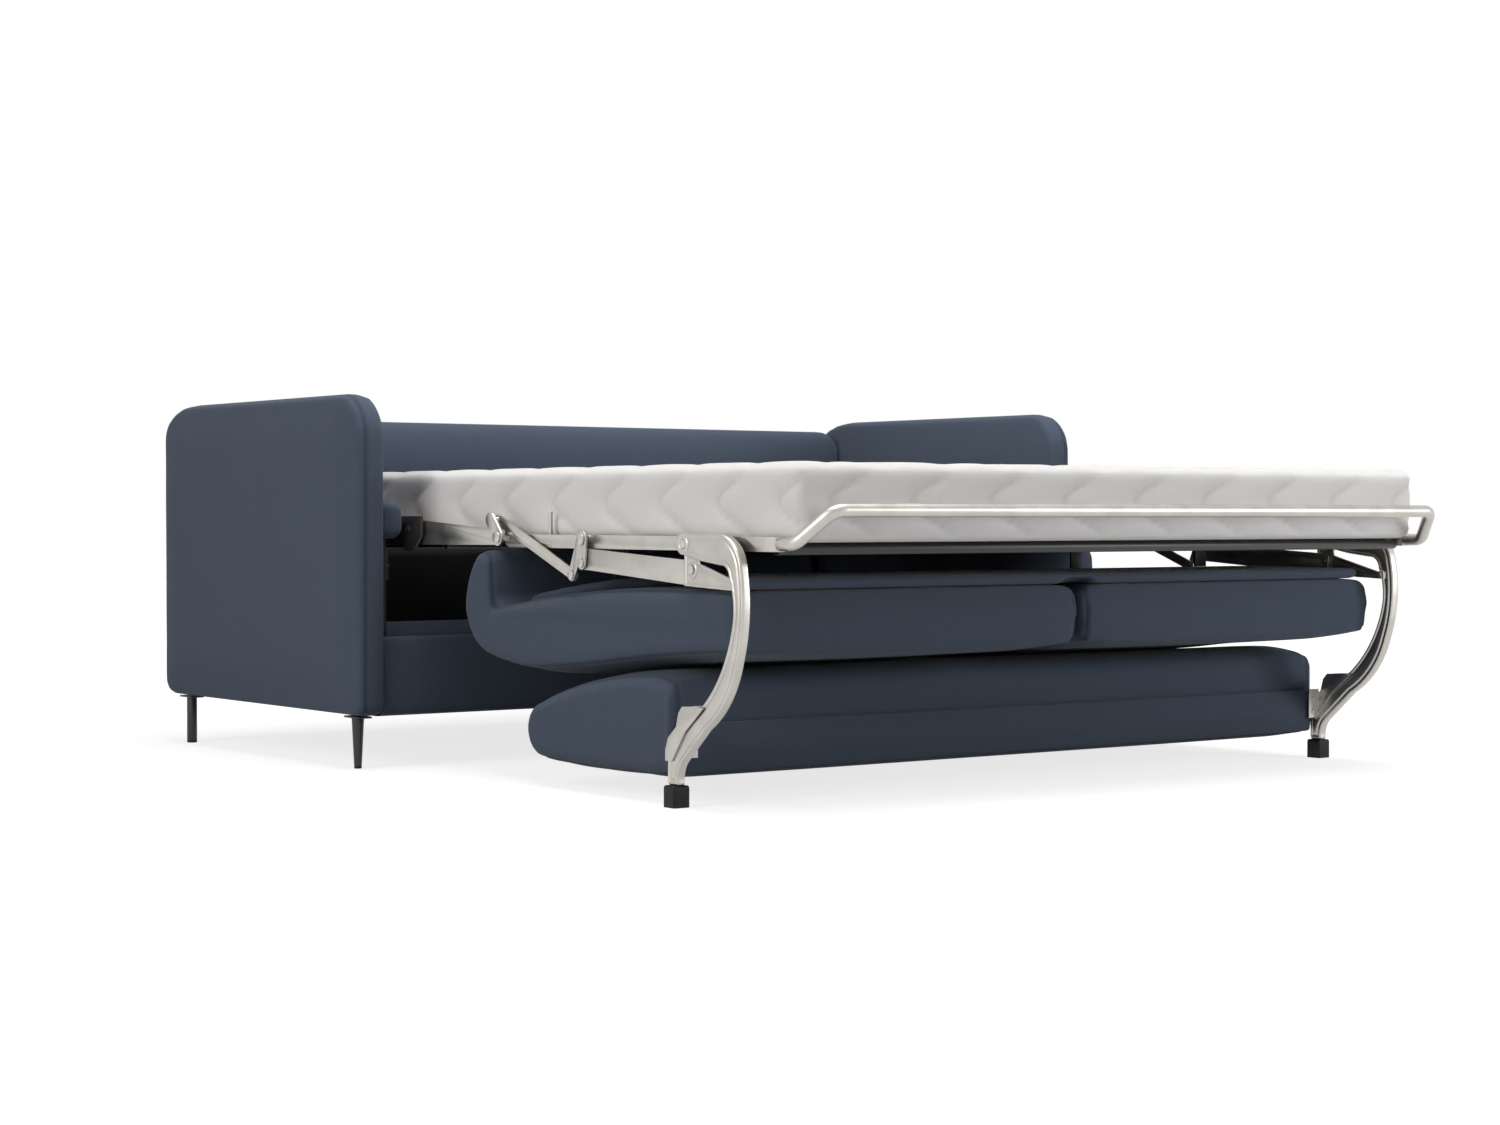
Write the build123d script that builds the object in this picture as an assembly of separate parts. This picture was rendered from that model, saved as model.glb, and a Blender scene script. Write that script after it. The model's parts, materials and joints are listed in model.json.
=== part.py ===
from build123d import *
import math
import os

# Sofa bed, shown open: an upholstered sofa shell, a two-part folding bed frame
# with its mattress, seat cushions that hang upside down under the foot part,
# and a back cushion carried by two curved legs at the foot end.
# Millimetres. X runs to the right, Y to the back, Z up. The origin is the middle
# of the open bed on the floor. Side outlines are given as (forward, z), where
# forward is the distance in front of the sofa's rear face.

# Overall
WIDTH = 1986.0
OPEN_DEPTH = 2260.0
ARM_DEPTH = 955.0
ARM_HEIGHT = 780.0
ARM_THICK = 66.0
SHELL_FLOOR_GAP = 109.0
FIT = 0.3
RUN = 0.05

# Sofa shell
BACK_THICK = 118.0
BACK_HEIGHT = 754.0
BACK_CORNER = 62.0
ARM_EDGE = 17.0
FRONT_PANEL_THICK = 24.0
FRONT_PANEL_TOP = 278.0
FRONT_PANEL_SETBACK = 22.0
FRONT_RAIL_THICK = 22.0
FRONT_RAIL_TOP = 304.0
SIDE_FRAME_THICK = 24.0
SIDE_FRAME_TOP = 474.0
BOLSTER_THICK = 60.0
BOLSTER_HEIGHT = 84.0
BOLSTER_EDGE = 22.0
LINER_THICK = 4.0

# Sofa legs
LEG_INSET_X = 41.0
FRONT_LEG_SETBACK = 80.0
REAR_LEG_FORWARD = 70.0
FRONT_LEG_TOP_R = 13.0
FRONT_LEG_FOOT_R = 8.0
REAR_LEG_R = 11.5
LEG_PLATE = 64.0
LEG_PLATE_THICK = 4.0
GLIDE_THICK = 5.0

# Mattress
MATTRESS_WIDTH = 1604.0
MATTRESS_BOTTOM = 478.0
MATTRESS_THICK = 142.0
MATTRESS_HEAD = 228.0
MATTRESS_FOOT_GAP = 73.0
MATTRESS_CROWN = 6.0
MATTRESS_SWELL = 7.0
QUILT_PITCH = 183.0
QUILT_DEPTH = 5.0

# Mounting plates
LIFT_SETBACK = 30.0
LIFT_Z = 497.0
PLATE_GAP = 4.0
PLATE_THICK = 6.0
PLATE_DROP = 45.0
PLATE_RISE = 27.0
PLATE_BACK = 59.0
PLATE_FRONT = 55.0
PLATE_CORNER = 30.0
PLATE_FLANGE = 60.0
SCREW_R = 5.0
SCREW_HEAD = 3.0
SCREW_INSET = 9.0

# Bed frame
HEAD_REACH = 343.0
HINGE_Z = 482.0
HEAD_RAIL_X = 846.0
HEAD_RAIL_THICK = 6.0
HEAD_RAIL_START = 240.0
HEAD_RAIL_RISE = 18.0
HEAD_RAIL_DROP = 32.0
KNUCKLE_R = 17.0
FOOT_RAIL_X = 806.0
FOOT_RAIL_WIDE = 20.0
FOOT_RAIL_HALF_TALL = 13.0
FOOT_RAIL_Z = 475.0
FOOT_RAIL_GAP = 110.0
PIN_R = 8.0
PIN_HEAD = 4.0
PIN_HEAD_THICK = 4.0
TUBE_R = 11.0
TUBE_WALL = 1.5
TUBE_INSET = 60.0
TUBE_TO_HINGE = 213.0
HINGE_TO_TUBE = 82.0
TUBE_TO_END = 25.0
SLATS_PER_BAY = 3
SLAT_THICK = 8.0
SLAT_WIDE = 68.0
LOOP_R = 12.0
LOOP_HALF_WIDTH = 775.0
LOOP_Z = 534.0
LOOP_BEND = 34.0
LOOP_RUN = 40.0
STOP_TO_HINGE = 141.0
STOP_HEIGHT = 46.0
STOP_R = 4.0

# Side linkage
LINK_X = 829.0
LINK_THICK = 4.0
CRANK_X = 834.0
CRANK_THICK = 4.0
CRANK_TO_HINGE = 284.0
CRANK_Z = 480.0
CRANK_ARM = 46.0
CRANK_HUB_R = 16.0
DRIVE_PIN_BACK = 35.0
DRIVE_PIN_DROP = 69.0
KNUCKLE_BACK = 29.0
KNUCKLE_RISE = 34.5
LINK_PIN_R = 6.0
LINK_PIN_HEAD = 3.0
DRIVE_LINK_HALF = 11.0
PULL_LINK_UP = 17.0
PULL_LINK_DOWN = 22.0
PULL_LINK_END = 12.0

# Bed legs
LEG_X = 849.0
LEG_DEEP = 32.0
LEG_BROAD = 20.0
LEG_CORNER = 4.0
LEG_EDGE = 4.5
LEG_PIVOT_BACK = 345.0
LEG_PIVOT_Z = 474.0
LEG_HUB_R = 19.5
LEG_FOOT_BACK = 376.0
LEG_FOOT_Z = 40.0
LEG_BOW_BACK = 163.0
LEG_BOW_Z = 365.0
LEG_KNEE_Z = 145.0
LEG_POST_TOP = 84.0
LUG_NECK = 24.0
FOOT_CAP = 36.0
FOOT_CAP_EDGE = 5.0
BRACKET_THICK = 4.0
BRACKET_LAP = 26.0
BRACKET_LOW = 84.0
BRACKET_TOP = 184.0

# Seat cushions and their board
SEAT_HALF_WIDTH = 838.0
SEAT_SPLIT_GAP = 6.0
SEAT_LIP_BACK = 172.0
SEAT_LIP_THICK = 120.0
SEAT_LIP_TOP = 460.0
SEAT_FRONT_BACK = 214.0
SEAT_NOSE = 12.0
SEAT_REAR_Z = 343.0
SEAT_FRONT_Z = 391.0
SEAT_BOW = 21.0
SEAT_LOW_Z = 221.0
SEAT_CHIN_Z = 276.0
SEAT_EDGE = 14.0
SEAT_CROWN = 5.0
SEAT_BOARD_THICK = 22.0
SEAT_BOARD_INSET = 90.0
SEAT_STRIP_INSET = 30.0
SEAT_STRIP_DEEP = 60.0
SEAT_NOTCH_HALF = 42.0
SEAT_NOTCH_TALL = 12.0
SEAT_NOTCH_DEEP = 40.0
HANGER_X = 620.0
HANGER_WIDE = 34.0
HANGER_THICK = 5.0

# Back cushion and its board
BACK_CUSHION_HALF_WIDTH = 850.0
BACK_CUSHION_TO_FOOT = 18.0
BACK_TIP_TO_HINGE = 85.0
BACK_LOW_Z = 47.0
BACK_TIP_Z = 104.0
BACK_CREST_Z = 236.0
BACK_CUSHION_EDGE = 20.0
BACK_BOARD_NOSE = 24.0
BACK_BOARD_THICK = 14.0
BACK_BOARD_TOP = 150.0
BACK_BOARD_FOOT = 52.0

# Values worked out from the sizes above
REAR_Y = OPEN_DEPTH / 2
HALF = WIDTH / 2
INNER = HALF - ARM_THICK
FRAME_X = INNER - SIDE_FRAME_THICK
BOLSTER_X = INNER - BOLSTER_THICK
FRONT_FACE = ARM_DEPTH - FRONT_PANEL_SETBACK
RAIL_FACE = FRONT_FACE - FRONT_PANEL_THICK
FRONT_LEG_FORWARD = ARM_DEPTH - FRONT_LEG_SETBACK
LIFT_FORWARD = ARM_DEPTH - LIFT_SETBACK
PLATE_X = HEAD_RAIL_X + HEAD_RAIL_THICK + PLATE_GAP
HINGE_FORWARD = LIFT_FORWARD + HEAD_REACH
MATTRESS_TOP = MATTRESS_BOTTOM + MATTRESS_THICK
MATTRESS_FOOT = OPEN_DEPTH - MATTRESS_FOOT_GAP
FOOT_RAIL_END = OPEN_DEPTH - FOOT_RAIL_GAP
TUBE_Z = MATTRESS_BOTTOM - TUBE_R - FIT
STOP_FORWARD = HINGE_FORWARD + STOP_TO_HINGE
CRANK_FORWARD = HINGE_FORWARD + CRANK_TO_HINGE
LEG_PIVOT_FORWARD = OPEN_DEPTH - LEG_PIVOT_BACK
LEG_FOOT_FORWARD = OPEN_DEPTH - LEG_FOOT_BACK
LEG_BOW_FORWARD = OPEN_DEPTH - LEG_BOW_BACK
LEG_INNER_X = LEG_X - LEG_BROAD / 2
LEG_OUTER_X = LEG_X + LEG_BROAD / 2
DRIVE_PIN = (CRANK_FORWARD - DRIVE_PIN_BACK, CRANK_Z - DRIVE_PIN_DROP)
PULL_PIN = (CRANK_FORWARD, CRANK_Z - CRANK_ARM)
LEG_PULL_PIN = (LEG_PIVOT_FORWARD, LEG_PIVOT_Z - CRANK_ARM)
KNUCKLE_PIN = (HINGE_FORWARD - KNUCKLE_BACK, HINGE_Z + KNUCKLE_RISE)
SEAT_LIP = HINGE_FORWARD - SEAT_LIP_BACK
SEAT_FRONT = OPEN_DEPTH - SEAT_FRONT_BACK
SEAT_TOP_REAR = (SEAT_LIP + SEAT_LIP_THICK, SEAT_REAR_Z)
SEAT_TOP_FRONT = (SEAT_FRONT - SEAT_NOSE, SEAT_FRONT_Z)
BACK_CUSHION_FRONT = LEG_FOOT_FORWARD - BACK_CUSHION_TO_FOOT
BACK_CUSHION_TIP = HINGE_FORWARD + BACK_TIP_TO_HINGE
BOARD_FACE = BACK_CUSHION_FRONT + BACK_BOARD_NOSE
BACK_BOARD_HALF_WIDTH = LEG_INNER_X - BRACKET_THICK - FIT


def bays(start, end):
    """Three cross tubes from start to end, and the slats evenly spaced between them."""
    tubes = [start, (start + end) / 2, end]
    step = (end - start) / (2 * (SLATS_PER_BAY + 1))
    slats = [tube_at + step * count for tube_at in tubes[:2] for count in range(1, SLATS_PER_BAY + 1)]
    return tubes, slats


HEAD_TUBES, HEAD_SLATS = bays(HEAD_RAIL_START + TUBE_INSET, HINGE_FORWARD - TUBE_TO_HINGE)
FOOT_TUBES, FOOT_SLATS = bays(HINGE_FORWARD + HINGE_TO_TUBE, FOOT_RAIL_END - TUBE_TO_END)


def yz(forward, z):
    """A side-view point in the local axes of Plane.YZ."""
    return (REAR_Y - forward, z)


def line(*points):
    return Polyline(*[yz(*p) for p in points])


def arc(start, middle, end):
    return ThreePointArc(yz(*start), yz(*middle), yz(*end))


def side_solid(edges, x_from, x_to):
    """Extrude a closed side outline along X."""
    face = make_face(edges)
    return extrude(Plane.YZ.offset(x_from) * face, amount=x_to - x_from)


def outline(points, x_from, x_to):
    return side_solid(line(*points, points[0]), x_from, x_to)


def rod(forward, z, radius, x_from, x_to):
    """A round bar along X."""
    middle = (x_from + x_to) / 2
    return Pos(middle, REAR_Y - forward, z) * Cylinder(radius, x_to - x_from, rotation=(0, 90, 0))


def tube(forward, z, x_from, x_to):
    return rod(forward, z, TUBE_R, x_from, x_to) - rod(forward, z, TUBE_R - TUBE_WALL, x_from, x_to)


def bar(start, end, half_start, half_end, x_from, x_to):
    """A flat link with round ends that tapers from one pin to the other."""
    run = math.hypot(end[0] - start[0], end[1] - start[1])
    across = (-(end[1] - start[1]) / run, (end[0] - start[0]) / run)
    corners = [
        (start[0] + across[0] * half_start, start[1] + across[1] * half_start),
        (end[0] + across[0] * half_end, end[1] + across[1] * half_end),
        (end[0] - across[0] * half_end, end[1] - across[1] * half_end),
        (start[0] - across[0] * half_start, start[1] - across[1] * half_start),
    ]
    body = outline(corners, x_from, x_to)
    return body + rod(*start, half_start, x_from, x_to) + rod(*end, half_end, x_from, x_to)


def flip(shape):
    """The mirror image on the other side of the bed."""
    return mirror(shape, about=Plane.YZ)


def block(x0, x1, front, rear, z0, z1):
    """A box from its X span, its front and rear forward distances and its Z span."""
    middle = ((x0 + x1) / 2, REAR_Y - (front + rear) / 2, (z0 + z1) / 2)
    return Pos(*middle) * Box(x1 - x0, front - rear, z1 - z0)


def save(name, *solids):
    shape = solids[0] if len(solids) == 1 else Compound(children=list(solids))
    export_step(shape, f"parts/{name}.step")


def both(name, shape):
    """One node on each side."""
    save("left_" + name, flip(shape))
    save("right_" + name, shape)


def pair(name, shape):
    """The two mirrored solids as one node."""
    save(name, flip(shape), shape)


def ellipse_corner(centre, half_forward, half_z, start):
    """A quarter of an ellipse, from its start angle in the side view."""
    return EllipticalCenterArc(yz(*centre), half_forward, half_z, start_angle=start, arc_size=90)


# Sofa shell


def arm():
    """Slim upholstered arm with large soft corners."""
    top_back = (150.0, 75.0)
    top_front = 95.0
    low_back = (45.0, 36.0)
    low_front = 24.0
    low = SHELL_FLOOR_GAP
    top = ARM_HEIGHT
    front = ARM_DEPTH
    edges = [
        line((low_back[0], low), (front - low_front, low)),
        ellipse_corner((front - low_front, low + low_front), low_front, low_front, 180),
        line((front, low + low_front), (front, top - top_front)),
        ellipse_corner((front - top_front, top - top_front), top_front, top_front, 90),
        line((front - top_front, top), (top_back[0], top)),
        ellipse_corner((top_back[0], top - top_back[1]), *top_back, 0),
        line((0, top - top_back[1]), (0, low + low_back[1])),
        ellipse_corner((low_back[0], low + low_back[1]), *low_back, 270),
    ]
    body = side_solid(edges, INNER, HALF)
    return fillet(body.edges().filter_by(Axis.X, reverse=True), ARM_EDGE)


def back_panel():
    """Upholstered back between the arms, with rounded top corners."""
    half = INNER - FIT
    body = block(-half, half, BACK_THICK, 0, SHELL_FLOOR_GAP, BACK_HEIGHT)
    corners = body.edges().filter_by(Axis.Y).group_by(Axis.Z)[-1]
    body = fillet(corners, BACK_CORNER)
    front = body.faces().sort_by(Axis.Y)[0].edges()
    rear = body.faces().sort_by(Axis.Y)[-1].edges()
    return fillet(front + rear, BACK_CORNER / 3)


def front_panel():
    """Fabric-covered panel that closes the base below the seat."""
    half = INNER - FIT
    body = block(-half, half, FRONT_FACE, RAIL_FACE, SHELL_FLOOR_GAP, FRONT_PANEL_TOP)
    edges = body.edges().filter_by(Axis.X).group_by(Axis.Y)[0]
    return fillet(edges, FRONT_PANEL_THICK / 3)


def front_rail():
    """Cross rail behind the front panel, a little taller than it."""
    half = FRAME_X
    low = SHELL_FLOOR_GAP + LINER_THICK
    return block(-half, half, RAIL_FACE, RAIL_FACE - FRONT_RAIL_THICK, low, FRONT_RAIL_TOP)


def rear_rail():
    low = SHELL_FLOOR_GAP + LINER_THICK
    half = FRAME_X
    return block(-half, half, BACK_THICK + FRONT_RAIL_THICK, BACK_THICK, low, FRONT_RAIL_TOP)


def side_frame():
    """Board inside the arm that carries the bed frame's mounting plate."""
    low = SHELL_FLOOR_GAP + LINER_THICK
    return block(FRAME_X, INNER, RAIL_FACE, BACK_THICK, low, SIDE_FRAME_TOP)


def bolster():
    """Padded roll on top of the side frame, on the arm's inner face."""
    body = block(BOLSTER_X, INNER - FIT, FRONT_FACE, BACK_THICK + FIT,
                 SIDE_FRAME_TOP, SIDE_FRAME_TOP + BOLSTER_HEIGHT)
    inner_edges = body.edges().filter_by(Axis.Y).group_by(Axis.X)[0]
    front_edges = body.faces().sort_by(Axis.Y)[0].edges()
    return fillet(inner_edges + front_edges, BOLSTER_EDGE)


def bottom_liner():
    half = INNER - FIT
    return block(-half, half, RAIL_FACE, BACK_THICK, SHELL_FLOOR_GAP, SHELL_FLOOR_GAP + LINER_THICK)


def shell_leg(forward, top_r, foot_r):
    """Slim round metal leg between its plate and its glide."""
    x = HALF - LEG_INSET_X
    y = REAR_Y - forward
    foot = Pos(x, y, GLIDE_THICK) * Circle(foot_r)
    top = Pos(x, y, SHELL_FLOOR_GAP - LEG_PLATE_THICK) * Circle(top_r)
    return loft([foot, top], ruled=True)


def shell_glide(forward, foot_r):
    return Pos(HALF - LEG_INSET_X, REAR_Y - forward, GLIDE_THICK / 2) * Cylinder(foot_r, GLIDE_THICK)


def shell_leg_plate(forward):
    z = SHELL_FLOOR_GAP - LEG_PLATE_THICK / 2
    plate = Box(ARM_THICK - 2 * ARM_EDGE, LEG_PLATE, LEG_PLATE_THICK)
    return Pos(HALF - LEG_INSET_X, REAR_Y - forward, z) * plate


# Mounting plates and head section

def mount_plate():
    """Black plate on the side frame that carries the head section's pivot."""
    low = LIFT_Z - PLATE_DROP
    top = LIFT_Z + PLATE_RISE
    front = LIFT_FORWARD + PLATE_FRONT
    back = LIFT_FORWARD - PLATE_BACK
    corners = [(back, low), (front - PLATE_CORNER, low), (front, LIFT_Z - PLATE_CORNER / 2), (front, top),
               (back + PLATE_CORNER / 2, top), (back, LIFT_Z)]
    plate = outline(corners, PLATE_X, PLATE_X + PLATE_THICK)
    foot = block(PLATE_X, FRAME_X, RAIL_FACE, back, low, low + PLATE_THICK)
    flange = block(FRAME_X - PLATE_THICK, FRAME_X, RAIL_FACE, back, low - PLATE_FLANGE, low + PLATE_THICK)
    hole = rod(LIFT_FORWARD, LIFT_Z, PIN_R + RUN, PLATE_X - 1, PLATE_X + PLATE_THICK + 1)
    return plate + foot + flange - hole


def mount_screws():
    """Two screws through the plate's flange into the side frame."""
    z = LIFT_Z - PLATE_DROP - PLATE_FLANGE / 2
    places = [LIFT_FORWARD - PLATE_BACK + SCREW_INSET, RAIL_FACE - SCREW_INSET]
    face = FRAME_X - PLATE_THICK
    return [rod(forward, z, SCREW_R, face - SCREW_HEAD, face) for forward in places]


def lift_pin():
    """Pivot pin with its head, from the mounting plate through the head rail."""
    face = HEAD_RAIL_X - 2
    shank = rod(LIFT_FORWARD, LIFT_Z, PIN_R, face, PLATE_X + PLATE_THICK)
    return shank + rod(LIFT_FORWARD, LIFT_Z, PIN_R + PIN_HEAD, face - PIN_HEAD_THICK, face)


def head_rail():
    """Flat side bar of the head section, ending in the hinge knuckle."""
    x0 = HEAD_RAIL_X
    x1 = HEAD_RAIL_X + HEAD_RAIL_THICK
    end = HINGE_FORWARD - KNUCKLE_R / 2
    waist = LIFT_FORWARD + PLATE_FRONT
    corners = [(HEAD_RAIL_START, LIFT_Z), (waist, LIFT_Z + HEAD_RAIL_RISE), (end, HINGE_Z + KNUCKLE_R - 2),
               (end, HINGE_Z - KNUCKLE_R + 2), (waist, LIFT_Z - HEAD_RAIL_DROP),
               (HEAD_RAIL_START, LIFT_Z - HEAD_RAIL_DROP)]
    ear = bar((HINGE_FORWARD, HINGE_Z), KNUCKLE_PIN, KNUCKLE_R, KNUCKLE_R - 2, x0, x1)
    body = outline(corners, x0, x1) + ear
    body = body - rod(LIFT_FORWARD, LIFT_Z, PIN_R + RUN, x0 - 1, x1 + 1)
    return body - rod(HINGE_FORWARD, HINGE_Z, PIN_R + RUN, x0 - 1, x1 + 1)


def fold_pin():
    """Hinge pin between the head rail and the foot rail."""
    face = HEAD_RAIL_X + HEAD_RAIL_THICK
    shank = rod(HINGE_FORWARD, HINGE_Z, PIN_R, FOOT_RAIL_X, face)
    return shank + rod(HINGE_FORWARD, HINGE_Z, PIN_R + PIN_HEAD, face, face + PIN_HEAD_THICK)


def slat(forward, half):
    """Wooden slat across the frame, with eased edges."""
    rear = forward - SLAT_WIDE / 2
    top = MATTRESS_BOTTOM - FIT
    body = block(-half, half, rear + SLAT_WIDE, rear, top - SLAT_THICK, top)
    return fillet(body.edges().filter_by(Axis.X), SLAT_THICK / 3)


# Mattress


def pad_section(forward, half, low, top, crown):
    """Cross-section of the mattress: flat below, bulged sides and a crowned top."""
    swell = MATTRESS_SWELL
    middle = (low + top) / 2
    edges = [
        Line((-half, low), (half, low)),
        ThreePointArc((half, low), (half + swell, middle), (half, top)),
        ThreePointArc((half, top), (0, top + crown), (-half, top)),
        ThreePointArc((-half, top), (-half - swell, middle), (-half, low)),
    ]
    plane = Plane(origin=(0, REAR_Y - forward, 0), x_dir=(1, 0, 0), z_dir=(0, -1, 0))
    return plane * make_face(edges)


def mattress(start, end):
    """Mattress length drawn in at each quilting seam."""
    count = max(2, round((end - start) / QUILT_PITCH))
    step = (end - start) / count
    half = MATTRESS_WIDTH / 2 - MATTRESS_SWELL
    sections = []
    for seam in range(2 * count + 1):
        drawn = QUILT_DEPTH if seam % 2 == 0 else 0.0
        top = MATTRESS_TOP - MATTRESS_CROWN - drawn
        forward = start + seam * step / 2
        sections.append(pad_section(forward, half - drawn, MATTRESS_BOTTOM, top, MATTRESS_CROWN))
    return loft(sections, ruled=True)


# Foot section


def foot_rail():
    """Square tube along the foot part of the bed."""
    x0 = FOOT_RAIL_X
    x1 = FOOT_RAIL_X + FOOT_RAIL_WIDE
    body = block(x0, x1, FOOT_RAIL_END, HINGE_FORWARD, FOOT_RAIL_Z - FOOT_RAIL_HALF_TALL,
                 FOOT_RAIL_Z + FOOT_RAIL_HALF_TALL)
    body = body + rod(HINGE_FORWARD, HINGE_Z, KNUCKLE_R, x0, x1)
    for place in [(HINGE_FORWARD, HINGE_Z), (CRANK_FORWARD, CRANK_Z), (LEG_PIVOT_FORWARD, LEG_PIVOT_Z)]:
        body = body - rod(*place, PIN_R + RUN, x0 - 1, x1 + 1)
    return body


def foot_loop():
    """Round tube that rises round the end of the mattress and stops it."""
    x = FOOT_RAIL_X + FOOT_RAIL_WIDE / 2
    front = OPEN_DEPTH - LOOP_R
    turn = FOOT_RAIL_END + LOOP_RUN
    points = [
        (x, REAR_Y - FOOT_RAIL_END, FOOT_RAIL_Z),
        (x, REAR_Y - turn, FOOT_RAIL_Z),
        (LOOP_HALF_WIDTH, REAR_Y - front, LOOP_Z),
        (-LOOP_HALF_WIDTH, REAR_Y - front, LOOP_Z),
        (-x, REAR_Y - turn, FOOT_RAIL_Z),
        (-x, REAR_Y - FOOT_RAIL_END, FOOT_RAIL_Z),
    ]
    path = FilletPolyline(*points, radius=LOOP_BEND)
    return sweep(Plane(path @ 0, z_dir=path % 0) * Circle(LOOP_R), path=path)


def mattress_stop():
    """Short upright pin on the foot rail that keeps the mattress in place."""
    base = FOOT_RAIL_Z + FOOT_RAIL_HALF_TALL
    x = FOOT_RAIL_X + FOOT_RAIL_WIDE / 2
    body = Pos(x, REAR_Y - STOP_FORWARD, base + STOP_HEIGHT / 2) * Cylinder(STOP_R, STOP_HEIGHT)
    return fillet(body.edges().group_by(Axis.Z)[-1], STOP_R / 2)


def crank_pin():
    """Pin that carries the bell crank on the foot rail."""
    face = CRANK_X + CRANK_THICK
    shank = rod(CRANK_FORWARD, CRANK_Z, PIN_R, FOOT_RAIL_X, face)
    return shank + rod(CRANK_FORWARD, CRANK_Z, PIN_R + LINK_PIN_HEAD, face, face + LINK_PIN_HEAD)


def leg_pivot_pin():
    """Pin that carries the bed leg on the foot rail."""
    return rod(LEG_PIVOT_FORWARD, LEG_PIVOT_Z, PIN_R, FOOT_RAIL_X, LEG_OUTER_X)


# Seat cushions


def seat_top(forward):
    """Height of the bowed top of the seat board at one place."""
    (rear, rear_z), (front, front_z) = SEAT_TOP_REAR, SEAT_TOP_FRONT
    share = (forward - rear) / (front - rear)
    return rear_z + share * (front_z - rear_z) + 4 * SEAT_BOW * share * (1 - share)


def seat_board():
    """Bowed board on top of both seat cushions, wider along its front strip, with a notch at the split."""
    rear, front = SEAT_TOP_REAR[0], SEAT_TOP_FRONT[0]
    middle = (rear + front) / 2
    low = [(forward, seat_top(forward) + FIT) for forward in (rear, middle, front)]
    top = [(forward, seat_top(forward) + SEAT_BOARD_THICK) for forward in (front, middle, rear)]
    half = SEAT_HALF_WIDTH - SEAT_STRIP_INSET
    body = side_solid([arc(*low), line(low[2], top[0]), arc(*top), line(top[2], low[0])], -half, half)
    side = block(SEAT_HALF_WIDTH - SEAT_BOARD_INSET, half + 1, front - SEAT_STRIP_DEEP, rear - 1, SEAT_LOW_Z,
                 SEAT_LIP_TOP)
    notch = block(-SEAT_NOTCH_HALF, SEAT_NOTCH_HALF, front + 1, front - SEAT_NOTCH_DEEP, SEAT_LOW_Z,
                  seat_top(front) + SEAT_NOTCH_TALL)
    return body - side - flip(side) - notch


def seat_hanger(forward):
    """Strap that hangs the seat board from a cross tube."""
    rear = forward + TUBE_R + FIT
    front = rear + HANGER_THICK
    low = max(seat_top(rear), seat_top(front)) + SEAT_BOARD_THICK + RUN
    return block(HANGER_X - HANGER_WIDE / 2, HANGER_X + HANGER_WIDE / 2, front, rear, low, TUBE_Z + TUBE_R)


def seat_section(x, inset, crown):
    """Side outline of a seat cushion at one place across its width."""
    lip = SEAT_LIP
    low = SEAT_LOW_Z + inset - crown
    corner = 0.7 * inset
    rear = (SEAT_TOP_REAR[0] - inset, SEAT_TOP_REAR[1] - inset)
    front = (SEAT_TOP_FRONT[0] - inset, SEAT_TOP_FRONT[1] - inset)
    middle = (rear[0] + front[0]) / 2
    nose = (SEAT_FRONT - inset, SEAT_TOP_FRONT[1] - 4 * SEAT_NOSE)
    chin = (SEAT_FRONT - SEAT_NOSE / 2 - inset, SEAT_CHIN_Z + inset - crown)
    heel = (lip + 2.3 * SEAT_LIP_THICK, low)
    waist = ((heel[0] + chin[0]) / 2, (low + chin[1]) / 2 + SEAT_CROWN / 2)
    turn = (lip + 0.6 * SEAT_LIP_THICK + corner / 2, low + 0.22 * SEAT_LIP_THICK)
    lip_side = (lip + inset, SEAT_REAR_Z - SEAT_CROWN)
    lip_crest = (lip + 0.4 * SEAT_LIP_THICK + corner / 2, SEAT_LIP_TOP - 0.11 * SEAT_LIP_THICK - corner)
    lip_end = (lip + 0.92 * SEAT_LIP_THICK - corner, SEAT_LIP_TOP - 0.2 * SEAT_LIP_THICK - corner)
    edges = [
        arc(rear, (middle, seat_top(middle) - inset), front),
        line(front, nose, chin),
        arc(chin, ((chin[0] + waist[0]) / 2, 0.6 * chin[1] + 0.4 * waist[1]), waist),
        arc(waist, ((waist[0] + heel[0]) / 2, 0.4 * waist[1] + 0.6 * heel[1]), heel),
        arc(heel, ((heel[0] + turn[0]) / 2, low + 0.05 * SEAT_LIP_THICK), turn),
        arc(turn, (lip + 0.14 * SEAT_LIP_THICK + corner, low + 0.6 * SEAT_LIP_THICK), lip_side),
        arc(lip_side, (lip + 0.08 * SEAT_LIP_THICK + inset, SEAT_LIP_TOP - 0.6 * SEAT_LIP_THICK), lip_crest),
        arc(lip_crest, (lip + 0.7 * SEAT_LIP_THICK, SEAT_LIP_TOP - inset), lip_end),
        line(lip_end, rear),
    ]
    return Plane.YZ.offset(x) * make_face(edges)


def seat_cushion():
    """Half of the seat: a thick crowned pad whose front edge turns up behind the board."""
    inner = SEAT_SPLIT_GAP / 2
    outer = SEAT_HALF_WIDTH
    middle = (inner + outer) / 2
    edge = SEAT_EDGE
    stations = [(inner, edge, 0), (inner + edge, 0.2 * edge, 0), (inner + 5 * edge, 0, 0.4 * SEAT_CROWN),
                (middle, 0, SEAT_CROWN), (outer - 5 * edge, 0, 0.4 * SEAT_CROWN),
                (outer - edge, 0.2 * edge, 0), (outer, edge, 0)]
    return loft([seat_section(*station) for station in stations], ruled=True)


# Linkage


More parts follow.
